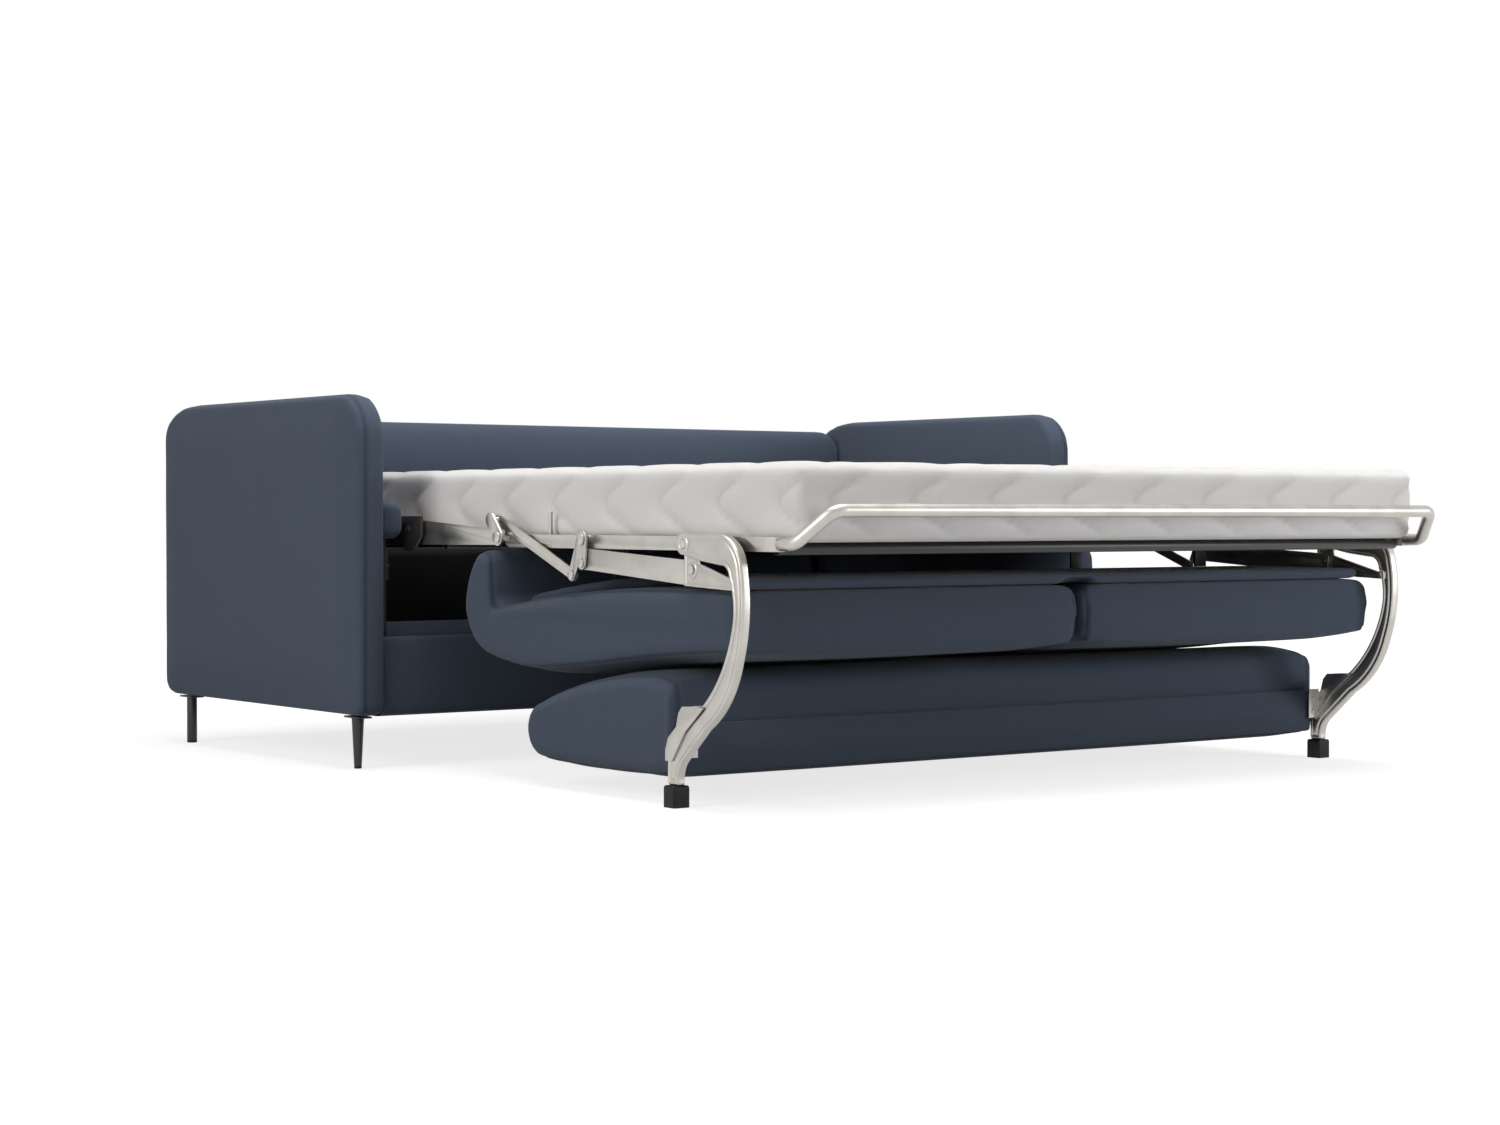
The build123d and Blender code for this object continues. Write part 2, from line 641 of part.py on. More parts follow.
def bell_crank():
    """Three-hole plate that turns on the foot rail and drives the bed leg."""
    x0, x1 = CRANK_X, CRANK_X + CRANK_THICK
    hub = (CRANK_FORWARD, CRANK_Z)
    body = bar(hub, DRIVE_PIN, CRANK_HUB_R, DRIVE_LINK_HALF, x0, x1)
    body = body + bar(hub, PULL_PIN, CRANK_HUB_R, PULL_LINK_END, x0, x1)
    for place, radius in [(hub, PIN_R), (DRIVE_PIN, LINK_PIN_R), (PULL_PIN, LINK_PIN_R)]:
        body = body - rod(*place, radius + RUN, x0 - 1, x1 + 1)
    return body


def link_pin(place):
    """Rivet that joins a link to its crank plate."""
    face = CRANK_X + CRANK_THICK
    shank = rod(*place, LINK_PIN_R, LINK_X - 1, face)
    return shank + rod(*place, LINK_PIN_R + LINK_PIN_HEAD, face, face + LINK_PIN_HEAD)


def drive_link():
    """Link from the head section's knuckle to the bell crank."""
    x0, x1 = LINK_X, LINK_X + LINK_THICK
    body = bar(KNUCKLE_PIN, DRIVE_PIN, DRIVE_LINK_HALF, DRIVE_LINK_HALF, x0, x1)
    body = body - rod(*DRIVE_PIN, LINK_PIN_R + RUN, x0 - 1, x1 + 1)
    return body + rod(*KNUCKLE_PIN, LINK_PIN_R, x1 - 1, HEAD_RAIL_X - 2 * FIT)


def pull_link():
    """Deep plate link from the bell crank to the bed leg."""
    x0, x1 = LINK_X, LINK_X + LINK_THICK
    rear, rear_z = PULL_PIN
    front, front_z = LEG_PULL_PIN
    end = PULL_LINK_END
    corners = [(rear - end, rear_z + end), (rear, rear_z + PULL_LINK_UP + end),
               (front - 2 * end, front_z + PULL_LINK_UP), (front + end, front_z + end),
               (front + end, front_z - PULL_LINK_DOWN + end / 2),
               (front - 2 * end, front_z - PULL_LINK_DOWN - end / 2),
               (rear + end, rear_z - end), (rear - end, rear_z - end)]
    body = outline(corners, x0, x1)
    for place in [PULL_PIN, LEG_PULL_PIN]:
        body = body - rod(*place, LINK_PIN_R + RUN, x0 - 1, x1 + 1)
    return body


# Bed legs and back cushion


def leg_outline():
    """Side outline of the bed leg: a hood over its pivot, the bow and the upright post."""
    pivot, top, low = LEG_PIVOT_FORWARD, LEG_PIVOT_Z + LEG_HUB_R, LEG_PIVOT_Z - LEG_HUB_R
    bow, bow_z = LEG_BOW_FORWARD, LEG_BOW_Z
    inner = bow - LEG_DEEP
    rear, front = LEG_FOOT_FORWARD - LEG_DEEP / 2, LEG_FOOT_FORWARD + LEG_DEEP / 2
    elbow = (bow - 85, top)
    brow = (bow - 6, bow_z + 65)
    calf = (bow - 18, bow_z - 98)
    knee = (bow - 114, LEG_KNEE_Z)
    shin = (front + 17, LEG_POST_TOP + 3)
    heel = (rear, LEG_POST_TOP)
    back_of_knee = (knee[0] - 10, LEG_KNEE_Z + 42)
    back_of_bow = (inner + 2, bow_z - 20)
    throat = (inner - 9, bow_z + 49)
    chin = (inner - 35, bow_z + 72)
    return [
        line((pivot, low), (pivot, top), elbow),
        arc(elbow, (bow - 31, top - 17), brow),
        arc(brow, (bow, bow_z), calf),
        arc(calf, (bow - 47, (calf[1] + knee[1]) / 2), knee),
        line(knee, shin),
        arc(shin, (front + 3, LEG_POST_TOP - 14), (front, LEG_FOOT_Z)),
        line((front, LEG_FOOT_Z), (rear, LEG_FOOT_Z), heel),
        arc(heel, (rear + 5, LEG_POST_TOP + 20), (rear + 22, LEG_POST_TOP + 40)),
        line((rear + 22, LEG_POST_TOP + 40), back_of_knee),
        arc(back_of_knee, (inner - 33, bow_z - 112), back_of_bow),
        arc(back_of_bow, (inner + 1, bow_z + 15), throat),
        arc(throat, (inner - 16, bow_z + 65), chin),
        line(chin, (pivot + 58, low - 11), (pivot, low)),
    ]


def bed_leg():
    """Pressed leg with its hub and the lug that the pull link drives."""
    body = side_solid(leg_outline(), LEG_INNER_X, LEG_OUTER_X)
    body = fillet(body.edges().filter_by(Axis.X), LEG_CORNER)
    body = fillet(body.edges().filter_by(Axis.X, reverse=True), LEG_EDGE)
    hub = (LEG_PIVOT_FORWARD, LEG_PIVOT_Z)
    pin, pin_z = LEG_PULL_PIN
    body = body + rod(*hub, LEG_HUB_R, CRANK_X, LEG_OUTER_X)
    inner = LEG_BOW_FORWARD - LEG_DEEP
    tip = LEG_BOW_Z + LEG_DEEP
    corners = [(pin - LUG_NECK, hub[1]), (pin + LUG_NECK, hub[1]), (pin + LUG_NECK, pin_z + PULL_LINK_END),
               (inner + LEG_EDGE, tip + 8), (inner + LEG_EDGE, tip - 6),
               (pin + LUG_NECK, pin_z - PULL_LINK_DOWN - 10), (pin - LUG_NECK, pin_z - PULL_LINK_DOWN - 8)]
    lug = outline(corners, CRANK_X, CRANK_X + CRANK_THICK)
    tie_corners = [(inner - 3, tip + 10), (inner + 10, tip + 10), (inner + 10, tip - 6), (inner - 3, tip - 4)]
    tie = outline(tie_corners, CRANK_X, LEG_X)
    body = body + lug + tie
    body = body - rod(*hub, PIN_R + RUN, CRANK_X - 1, LEG_X + LEG_BROAD)
    return body - rod(*LEG_PULL_PIN, LINK_PIN_R + RUN, CRANK_X - 1, LEG_X)


def foot_cap():
    """Rubber foot on the end of the bed leg."""
    body = block(LEG_X - FOOT_CAP / 2, LEG_X + FOOT_CAP / 2, LEG_FOOT_FORWARD + FOOT_CAP / 2,
                 LEG_FOOT_FORWARD - FOOT_CAP / 2, 0, LEG_FOOT_Z)
    return fillet(body.edges().filter_by(Axis.Z) + body.edges().group_by(Axis.Z)[-1], FOOT_CAP_EDGE)


def leg_bracket():
    """Folded bracket: a cheek on each side of the leg, a web behind it and a flange over the back cushion's board."""
    rear = LEG_FOOT_FORWARD - LEG_DEEP / 2
    low, top = BRACKET_LOW, BRACKET_TOP
    corners = [(rear, low), (rear + 20, low), (rear + 62, low + 56), (rear + 117, top), (rear + 100, top + 3),
               (rear + 52, top), (rear + 41, top - 12), (rear + 34, top - 37), (rear + 9, top - 58),
               (rear, top - 80)]
    inner_cheek = outline(corners, LEG_INNER_X - BRACKET_THICK, LEG_INNER_X)
    outer_cheek = outline(corners, LEG_OUTER_X, LEG_OUTER_X + BRACKET_THICK)
    web_corners = [(rear + 34, top - 37), (rear + 41, top - 12), (rear + 41 + BRACKET_THICK, top - 12),
                   (rear + 34 + BRACKET_THICK, top - 37)]
    web = outline(web_corners, LEG_INNER_X - BRACKET_THICK, LEG_OUTER_X + BRACKET_THICK)
    flange = block(BACK_BOARD_HALF_WIDTH - BRACKET_LAP, LEG_INNER_X, BOARD_FACE + BRACKET_THICK, BOARD_FACE,
                   low + BRACKET_THICK, BACK_BOARD_TOP)
    return inner_cheek + web + outer_cheek + flange


def bracket_screws():
    """Screws through the bracket's flange into the cushion's board."""
    x = BACK_BOARD_HALF_WIDTH - BRACKET_LAP / 2
    y = REAR_Y - BOARD_FACE - BRACKET_THICK - SCREW_HEAD / 2
    head = Cylinder(SCREW_R, SCREW_HEAD, rotation=(90, 0, 0))
    return [Pos(x, y, BRACKET_LOW + rise) * head for rise in (SCREW_INSET * 2, SCREW_INSET * 5)]


def back_section(x, inset):
    """Side outline of the back cushion at one place across its width."""
    tip = BACK_CUSHION_TIP
    front = BACK_CUSHION_FRONT
    span = front - tip
    corner = 0.7 * inset
    low = BACK_LOW_Z + inset
    nose = BACK_CREST_Z - BACK_TIP_Z
    under = (tip + 0.42 * nose + corner, low + 4)
    over = (tip + 0.36 * nose + corner, BACK_TIP_Z + 0.48 * nose - corner)
    crest = (front - 0.5 * nose, BACK_CREST_Z - inset)
    foot = (front, BACK_BOARD_FOOT + inset)
    edges = [
        arc(under, (tip + inset, BACK_TIP_Z), over),
        arc(over, (tip + 0.47 * span, BACK_TIP_Z + 0.85 * nose - inset), crest),
        line(crest, (front - 10, crest[1] - 6), (front, crest[1] - 22), foot),
        arc(foot, (tip + 0.47 * span, low), under),
    ]
    return Plane.YZ.offset(x) * make_face(edges)


def back_cushion():
    """Long rounded back cushion, lying under the seat when the bed is open."""
    half = BACK_CUSHION_HALF_WIDTH
    edge = BACK_CUSHION_EDGE
    ends = [(0, edge), (0.3 * edge, 0.35 * edge), (edge, 0.08 * edge), (4 * edge, 0)]
    stations = [(-half + along, inset) for along, inset in ends]
    stations += [(half - along, inset) for along, inset in reversed(ends)]
    return loft([back_section(x, inset) for x, inset in stations], ruled=True)


def back_board():
    """Fabric-covered board along the lower edge of the back cushion, with a blunt nose."""
    rear, edge = BACK_CUSHION_FRONT, BACK_CUSHION_FRONT + BACK_BOARD_THICK
    middle = (BACK_BOARD_TOP + BACK_BOARD_FOOT) / 2
    half = BACK_BOARD_HALF_WIDTH
    corners = [(rear, BACK_BOARD_FOOT), (edge, BACK_BOARD_FOOT), (BOARD_FACE, middle), (edge, BACK_BOARD_TOP),
               (rear, BACK_BOARD_TOP)]
    body = outline(corners, -half, half)
    return fillet(body.edges().filter_by(Axis.X).group_by(Axis.Y)[0], BACK_BOARD_THICK / 2)


def build():
    os.makedirs("parts", exist_ok=True)
    both("arm", arm())
    save("back_panel", back_panel())
    save("front_panel", front_panel())
    save("front_rail", front_rail())
    save("rear_rail", rear_rail())
    both("side_frame", side_frame())
    both("arm_bolster", bolster())
    save("bottom_liner", bottom_liner())
    pair("front_legs", shell_leg(FRONT_LEG_FORWARD, FRONT_LEG_TOP_R, FRONT_LEG_FOOT_R))
    pair("rear_legs", shell_leg(REAR_LEG_FORWARD, REAR_LEG_R, REAR_LEG_R))
    glides = [shell_glide(FRONT_LEG_FORWARD, FRONT_LEG_FOOT_R), shell_glide(REAR_LEG_FORWARD, REAR_LEG_R)]
    save("leg_glides", *glides, *[flip(glide) for glide in glides])
    plates = [shell_leg_plate(FRONT_LEG_FORWARD), shell_leg_plate(REAR_LEG_FORWARD)]
    save("leg_plates", *plates, *[flip(plate) for plate in plates])
    both("mount_plate", mount_plate())
    screws = mount_screws()
    save("mount_screws", *screws, *[flip(screw) for screw in screws])
    pair("lift_pins", lift_pin())

    both("head_rail", head_rail())
    save("head_cross_tubes", *[tube(place, TUBE_Z, -HEAD_RAIL_X, HEAD_RAIL_X) for place in HEAD_TUBES])
    save("head_slats", *[slat(place, HEAD_RAIL_X) for place in HEAD_SLATS])
    pair("fold_pins", fold_pin())
    save("mattress_head", mattress(MATTRESS_HEAD, HINGE_FORWARD - FIT))

    both("foot_rail", foot_rail())
    save("foot_cross_tubes", *[tube(place, TUBE_Z, -FOOT_RAIL_X, FOOT_RAIL_X) for place in FOOT_TUBES])
    save("foot_slats", *[slat(place, FOOT_RAIL_X) for place in FOOT_SLATS])
    save("foot_loop", foot_loop())
    pair("mattress_stops", mattress_stop())
    pair("crank_pins", crank_pin())
    pair("leg_pivot_pins", leg_pivot_pin())
    save("seat_board", seat_board())
    hangers = [seat_hanger(place) for place in FOOT_TUBES[:2]]
    save("seat_hangers", *hangers, *[flip(hanger) for hanger in hangers])
    both("seat_cushion", seat_cushion())
    save("mattress_foot", mattress(HINGE_FORWARD + FIT, MATTRESS_FOOT))

    both("bell_crank", bell_crank())
    rivets = [link_pin(DRIVE_PIN), link_pin(PULL_PIN)]
    save("crank_rivets", *rivets, *[flip(rivet) for rivet in rivets])
    both("drive_link", drive_link())
    both("pull_link", pull_link())

    both("bed_leg", bed_leg())
    both("foot_cap", foot_cap())
    both("leg_bracket", leg_bracket())
    screws = bracket_screws()
    save("bracket_screws", *screws, *[flip(screw) for screw in screws])
    pair("leg_rivets", link_pin(LEG_PULL_PIN))
    save("back_cushion", back_cushion())
    save("back_board", back_board())


build()
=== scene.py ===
"""Sofa bed, opened out: upholstery, quilted mattress, bed frame finishes and a plain studio."""

import json
import math

import bpy
from mathutils import Matrix, Vector
from mathutils.kdtree import KDTree


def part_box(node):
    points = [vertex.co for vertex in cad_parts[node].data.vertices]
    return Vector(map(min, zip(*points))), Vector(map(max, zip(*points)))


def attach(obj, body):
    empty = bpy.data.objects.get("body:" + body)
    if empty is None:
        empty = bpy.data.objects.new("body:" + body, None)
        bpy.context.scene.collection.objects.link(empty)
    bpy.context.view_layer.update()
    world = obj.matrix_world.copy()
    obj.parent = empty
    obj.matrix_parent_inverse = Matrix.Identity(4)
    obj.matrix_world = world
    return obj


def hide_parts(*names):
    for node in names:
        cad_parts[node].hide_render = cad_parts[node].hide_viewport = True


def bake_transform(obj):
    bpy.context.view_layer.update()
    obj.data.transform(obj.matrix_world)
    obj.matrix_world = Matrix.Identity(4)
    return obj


bl_info = {
    "name": "Sofa bed",
    "version": (1, 0, 0),
    "blender": (4, 5, 0),
    "location": "View3D > Sidebar > Sofa bed",
    "description": "Dresses the sofa bed's frame with upholstery, a quilted mattress and a studio",
    "category": "Object",
}

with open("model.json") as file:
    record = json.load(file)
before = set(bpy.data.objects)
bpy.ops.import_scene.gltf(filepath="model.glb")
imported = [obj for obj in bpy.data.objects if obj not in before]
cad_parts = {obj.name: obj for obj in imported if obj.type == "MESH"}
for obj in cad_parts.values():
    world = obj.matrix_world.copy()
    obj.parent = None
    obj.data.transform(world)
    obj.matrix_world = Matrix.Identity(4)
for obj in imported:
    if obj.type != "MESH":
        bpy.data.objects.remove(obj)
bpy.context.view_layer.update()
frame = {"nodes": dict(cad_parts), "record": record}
MERGE = 1e-5
TINY = 1e-6
SIM_FRAMES = 20

# Depth of cover that a board or frame holds, and distance from a cover's end to its seam, in metres
TACK = 0.012
ARM_TACK = 0.004
BACK_TACK = 0.020
BOARD_TACK = 0.008
ARM_WELT = 0.020
SEAT_WELT = 0.014
CUSHION_WELT = 0.018

# Covers that lie close to a board
ARM_SWELL = 0.008
BOARD_INSET = 0.003
BOARD_SWELL = 0.005
STRIP_INSET = 0.001

# Share of a normal along X from which a face counts as an end, as a flat side, or below which as a rim
END_FACE = 0.8
FLAT_SIDE = 0.75
RIM = 0.3

# Angles below which faces merge, above which edges are rounded, and below which faces shade as one
MERGE_ANGLE = math.radians(1.0)
EDGE_ANGLE = math.radians(40.0)
SHADE_ANGLE = math.radians(35.0)

# Thread spacing of the weave and the knit, and width of the painted shade along a quilting stitch
THREAD = 0.0032
KNIT = 0.0026
STITCH_SHADE = 0.007

# Lining cloth: gaps to the rail, side frames, liner and tubes, thickness, and its shallow folds
LINING_GAP = 0.006
LINING_BELOW = 0.004
LINING_ABOVE = 0.012
LINING_THICK = 0.0012
LINING_FOLD = 0.003
LINING_PITCH = 0.31
LINING_COLUMNS = 90
LINING_ROWS = 20

# Where the photograph's camera stands, in the frame's metres, and how it is turned
CAMERA_PLACE = (-3.6255, -4.7383, 0.5245)
CAMERA_TURN = math.radians(-36.43)
CAMERA_PITCH = math.radians(-0.99)
CAMERA_LENS = 64.87
CAMERA_SENSOR = 36.0

# Name, place, target, size and power of each lamp
LAMPS = (
    ("key", (-5.2, -1.0, 2.6), (0, 0, 0.4), 3.0, 102.0),
    ("top", (0.0, -0.6, 5.0), (0, 0.2, 0.4), 4.0, 205.0),
    ("fill", (2.6, -3.8, 1.0), (0.2, -1.1, 0.5), 1.2, 48.0),
)
AMBIENT = 0.11

# Floor: its own grey, and the glow near and far from the sofa bed
FLOOR_SIZE = 60.0
FLOOR_GREY = 0.42
GLOW_NEAR = (1.6, 0.78)
GLOW_FAR = (4.5, 1.0)


class SofaBedFinish(bpy.types.PropertyGroup):
    """Colours of the fabrics, metals and woods."""

    upholstery: bpy.props.FloatVectorProperty(
        name="Upholstery", description="Woven cover of the sofa and its cushions",
        subtype="COLOR", min=0.0, max=1.0, default=(0.083, 0.107, 0.150))
    ticking: bpy.props.FloatVectorProperty(
        name="Ticking", description="Quilted knit of the mattress",
        subtype="COLOR", min=0.0, max=1.0, default=(0.93, 0.905, 0.885))
    steel: bpy.props.FloatVectorProperty(
        name="Bed frame", description="Pale satin coat of the bed frame",
        subtype="COLOR", min=0.0, max=1.0, default=(0.47, 0.45, 0.415))
    black: bpy.props.FloatVectorProperty(
        name="Black metal", description="Sofa legs and mounting plates",
        subtype="COLOR", min=0.0, max=1.0, default=(0.012, 0.012, 0.013))
    beech: bpy.props.FloatVectorProperty(
        name="Slats", description="Bent beech slats",
        subtype="COLOR", min=0.0, max=1.0, default=(0.48, 0.30, 0.15))


class SofaBedPadding(bpy.types.PropertyGroup):
    """How full and how finely meshed the soft pieces are."""

    voxel: bpy.props.FloatProperty(
        name="Mesh", description="Size of the remeshed squares before they are halved",
        unit="LENGTH", min=0.004, max=0.03, default=0.010)
    pressure: bpy.props.FloatProperty(
        name="Pressure", description="How hard the padding pushes the cover out",
        min=0.0, max=20.0, default=4.0)
    inset: bpy.props.FloatProperty(
        name="Inset", description="How far a cover starts inside its full shape",
        unit="LENGTH", min=0.0, max=0.03, default=0.003)
    swell: bpy.props.FloatProperty(
        name="Swell", description="The furthest that a cover may be pushed out",
        unit="LENGTH", min=0.0, max=0.05, default=0.009)
    calm: bpy.props.IntProperty(
        name="Calm", description="How often the swell of a cover is evened out", min=0, max=60, default=14)
    seam_depth: bpy.props.FloatProperty(
        name="Seam depth", description="How deep a sewn seam draws the cover in",
        unit="LENGTH", min=0.0, max=0.01, default=0.0022)
    seam_width: bpy.props.FloatProperty(
        name="Seam width", description="Half width of the dip beside a seam",
        unit="LENGTH", min=0.001, max=0.02, default=0.0045)


class SofaBedMetal(bpy.types.PropertyGroup):
    """Rounded edges and pressed beads of the bed frame."""

    edge: bpy.props.FloatProperty(
        name="Edge", description="How far sharp metal edges are rounded",
        unit="LENGTH", min=0.0002, max=0.003, default=0.0010)
    voxel: bpy.props.FloatProperty(
        name="Mesh", description="Size of the squares of the pressed legs' mesh",
        unit="LENGTH", min=0.001, max=0.006, default=0.0016)
    bead_inset: bpy.props.FloatProperty(
        name="Bead inset", description="Distance from a leg's outline to its pressed bead",
        unit="LENGTH", min=0.002, max=0.03, default=0.0085)
    bead_depth: bpy.props.FloatProperty(
        name="Bead depth", description="How deep the bead is pressed in",
        unit="LENGTH", min=0.0, max=0.006, default=0.0024)
    bead_width: bpy.props.FloatProperty(
        name="Bead width", description="Half width of the bead",
        unit="LENGTH", min=0.0005, max=0.01, default=0.0024)


class SofaBedQuilt(bpy.types.PropertyGroup):
    """The mattress and its scalloped quilting."""

    pitch: bpy.props.FloatProperty(
        name="Pitch", description="Distance from one quilting seam to the next",
        unit="LENGTH", min=0.05, max=0.6, default=0.183)
    sway: bpy.props.FloatProperty(
        name="Sway", description="How far a scalloped seam leans along the edge",
        unit="LENGTH", min=0.0, max=0.3, default=0.10)
    depth: bpy.props.FloatProperty(
        name="Depth", description="How deep a seam is sewn in",
        unit="LENGTH", min=0.0, max=0.03, default=0.006)
    spread: bpy.props.FloatProperty(
        name="Spread", description="How wide the filling falls away towards a seam",
        unit="LENGTH", min=0.005, max=0.1, default=0.022)
    edge: bpy.props.FloatProperty(
        name="Edge", description="Radius of the mattress's edges",
        unit="LENGTH", min=0.005, max=0.07, default=0.026)
    mesh: bpy.props.FloatProperty(
        name="Mesh", description="Size of the squares of the mattress's mesh",
        unit="LENGTH", min=0.004, max=0.03, default=0.009)


# Small modelling helpers


def only(piece):
    """Make one piece the whole selection and the active object."""
    if bpy.context.object and bpy.context.object.mode != "OBJECT":
        bpy.ops.object.mode_set(mode="OBJECT")
    bpy.ops.object.select_all(action="DESELECT")
    piece.select_set(True)
    bpy.context.view_layer.objects.active = piece


def apply_modifier(piece, kind, **settings):
    """Add a modifier, set it and apply it."""
    modifier = piece.modifiers.new(kind.title(), kind)
    for key, value in settings.items():
        setattr(modifier, key, value)
    only(piece)
    bpy.ops.object.modifier_apply(modifier=modifier.name)


def copy_of(node, name):
    """A merged copy of a CAD node's mesh, as a new piece."""
    mesh = frame["nodes"][node].data.copy()
    mesh.materials.clear()
    piece = bpy.data.objects.new(name, mesh)
    bpy.context.scene.collection.objects.link(piece)
    only(piece)
    bpy.ops.mesh.customdata_custom_splitnormals_clear()
    bpy.ops.object.mode_set(mode="EDIT")
    bpy.ops.mesh.select_all(action="SELECT")
    bpy.ops.mesh.remove_doubles(threshold=MERGE)
    bpy.ops.object.mode_set(mode="OBJECT")
    return piece


def mirrored(piece, name):
    """The mirror image of a piece on the other side of the bed, with its own mesh."""
    mesh = piece.data.copy()
    mesh.transform(Matrix.Scale(-1, 4, (1, 0, 0)))
    mesh.flip_normals()
    other = bpy.data.objects.new(name, mesh)
    bpy.context.scene.collection.objects.link(other)
    return other


def dress(piece, body, nodes, material):
    """Give a finished piece its finish, its body and the CAD nodes that it stands for."""
    piece.data.materials.clear()
    piece.data.materials.append(material)
    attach(piece, body)
    if nodes:
        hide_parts(*nodes)
    return piece


# Padded pieces


def stuffed(node, name, held, inset):
    """The shape of a soft CAD solid, evenly meshed and drawn in a little where nothing holds it."""
    padding = bpy.context.scene.sofabed_padding
    piece = copy_of(node, name)
    apply_modifier(piece, "REMESH", mode="VOXEL", voxel_size=padding.voxel)
    apply_modifier(piece, "SMOOTH", factor=0.5, iterations=2)
    free = piece.vertex_groups.new(name="free")
    free.add([vertex.index for vertex in piece.data.vertices if not held(vertex.co)], 1.0, "REPLACE")
    apply_modifier(piece, "DISPLACE", strength=-inset, mid_level=0.0, vertex_group=free.name)
    piece.vertex_groups.clear()
    return piece


def evened(mesh, lifts, rounds):
    """One value for each vertex, evened out over neighbouring vertices."""
    pairs = [tuple(edge.vertices) for edge in mesh.edges]
    for _ in range(rounds):
        sums = list(lifts)
        counts = [1] * len(lifts)
        for one, other in pairs:
            sums[one] += lifts[other]
            sums[other] += lifts[one]
            counts[one] += 1
            counts[other] += 1
        lifts = [total / count for total, count in zip(sums, counts)]
    return lifts


def inflate(piece, held, swell):
    """Puff a cover out as cloth where the frame doesn't hold it, and lay its creases flat."""
    padding = bpy.context.scene.sofabed_padding
    scene = bpy.context.scene
    only(piece)
    start = [(vertex.co.copy(), vertex.normal.copy()) for vertex in piece.data.vertices]
    group = piece.vertex_groups.new(name="held")
    group.add([vertex.index for vertex in piece.data.vertices if held(vertex.co)], 1.0, "REPLACE")
    cloth = piece.modifiers.new("Cloth", "CLOTH")
    cloth.settings.vertex_group_mass = group.name
    cloth.settings.use_pressure = True
    cloth.settings.uniform_pressure_force = padding.pressure
    cloth.settings.effector_weights.gravity = 0.0
    cloth.settings.tension_stiffness = 20.0
    cloth.settings.bending_stiffness = 2.0
    cloth.collision_settings.use_collision = False
    for number in range(1, SIM_FRAMES + 1):
        scene.frame_set(number)
    bpy.ops.object.modifier_apply(modifier=cloth.name)
    scene.frame_set(1)
    lifts = []
    for vertex, (place, normal) in zip(piece.data.vertices, start):
        lift = (vertex.co - place).dot(normal)
        lifts.append(max(0.0, min(swell, lift)))
    lifts = evened(piece.data, lifts, padding.calm)
    for vertex, (place, normal), lift in zip(piece.data.vertices, start, lifts):
        vertex.co = place if held(place) else place + normal * lift
    piece.vertex_groups.clear()


def upholstered(node, name, held, inset=None, swell=None):
    """A padded piece: shaped from its CAD solid, inflated and smoothed."""
    padding = bpy.context.scene.sofabed_padding
    piece = stuffed(node, name, held, padding.inset if inset is None else inset)
    inflate(piece, held, padding.swell if swell is None else swell)
    apply_modifier(piece, "SUBSURF", levels=1, render_levels=1)
    only(piece)
    bpy.ops.object.shade_smooth()
    return piece


def sew(piece, distance):
    """Draw a seam in where distance(place, normal) is small, and mark it so that the cover's finish paints
    shade into the seam's dip.
    """
    padding = bpy.context.scene.sofabed_padding
    mesh = piece.data
    crease_shades = mesh.attributes.get("seam") or mesh.attributes.new("seam", "FLOAT", "POINT")
    moves = []
    for vertex in mesh.vertices:
        dip = math.exp(-((distance(vertex.co, vertex.normal) / padding.seam_width) ** 2))
        crease_shades.data[vertex.index].value = max(dip, crease_shades.data[vertex.index].value)
        moves.append(vertex.normal * -padding.seam_depth * dip)
    for vertex, move in zip(mesh.vertices, moves):
        vertex.co += move
    mesh.update()


# Metal pieces


BODY_OF = {node: body for body, nodes in frame["record"]["behaviour"]["bodies"].items() for node in nodes}
SLOT_OF = {row["node"]: row["material_slot"] for row in frame["record"]["subparts"]}


def eased(node, width):
    """A rigid CAD node with its sharp edges rounded off."""
    piece = copy_of(node, node + "_eased")
    apply_modifier(piece, "DECIMATE", decimate_type="DISSOLVE", angle_limit=MERGE_ANGLE)
    apply_modifier(piece, "BEVEL", width=width, segments=2, limit_method="ANGLE", angle_limit=EDGE_ANGLE)
    only(piece)
    bpy.ops.object.shade_smooth_by_angle(angle=SHADE_ANGLE)
    dress(piece, BODY_OF[node], [node], material(SLOT_OF[node]))


def pressed(node, name):
    """A pressed metal shape: evenly meshed, with a bead along its outline on both flat sides."""
    metal = bpy.context.scene.sofabed_metal
    piece = copy_of(node, name)
    apply_modifier(piece, "REMESH", mode="VOXEL", voxel_size=metal.voxel)
    apply_modifier(piece, "SMOOTH", factor=0.5, iterations=4)
    mesh = piece.data
    rim = [vertex.co for vertex in mesh.vertices if abs(vertex.normal.x) < RIM]
    tree = KDTree(len(rim))
    for index, place in enumerate(rim):
        tree.insert((0.0, place.y, place.z), index)
    tree.balance()
    moves = []
    for vertex in mesh.vertices:
        move = Vector()
        if abs(vertex.normal.x) > FLAT_SIDE:
            gap = tree.find((0.0, vertex.co.y, vertex.co.z))[2] - metal.bead_inset
            move = vertex.normal * -metal.bead_depth * math.exp(-((gap / metal.bead_width) ** 2))
        moves.append(move)
    for vertex, move in zip(mesh.vertices, moves):
        vertex.co += move
    mesh.update()
    only(piece)
    bpy.ops.object.shade_smooth()
    return piece


# Materials


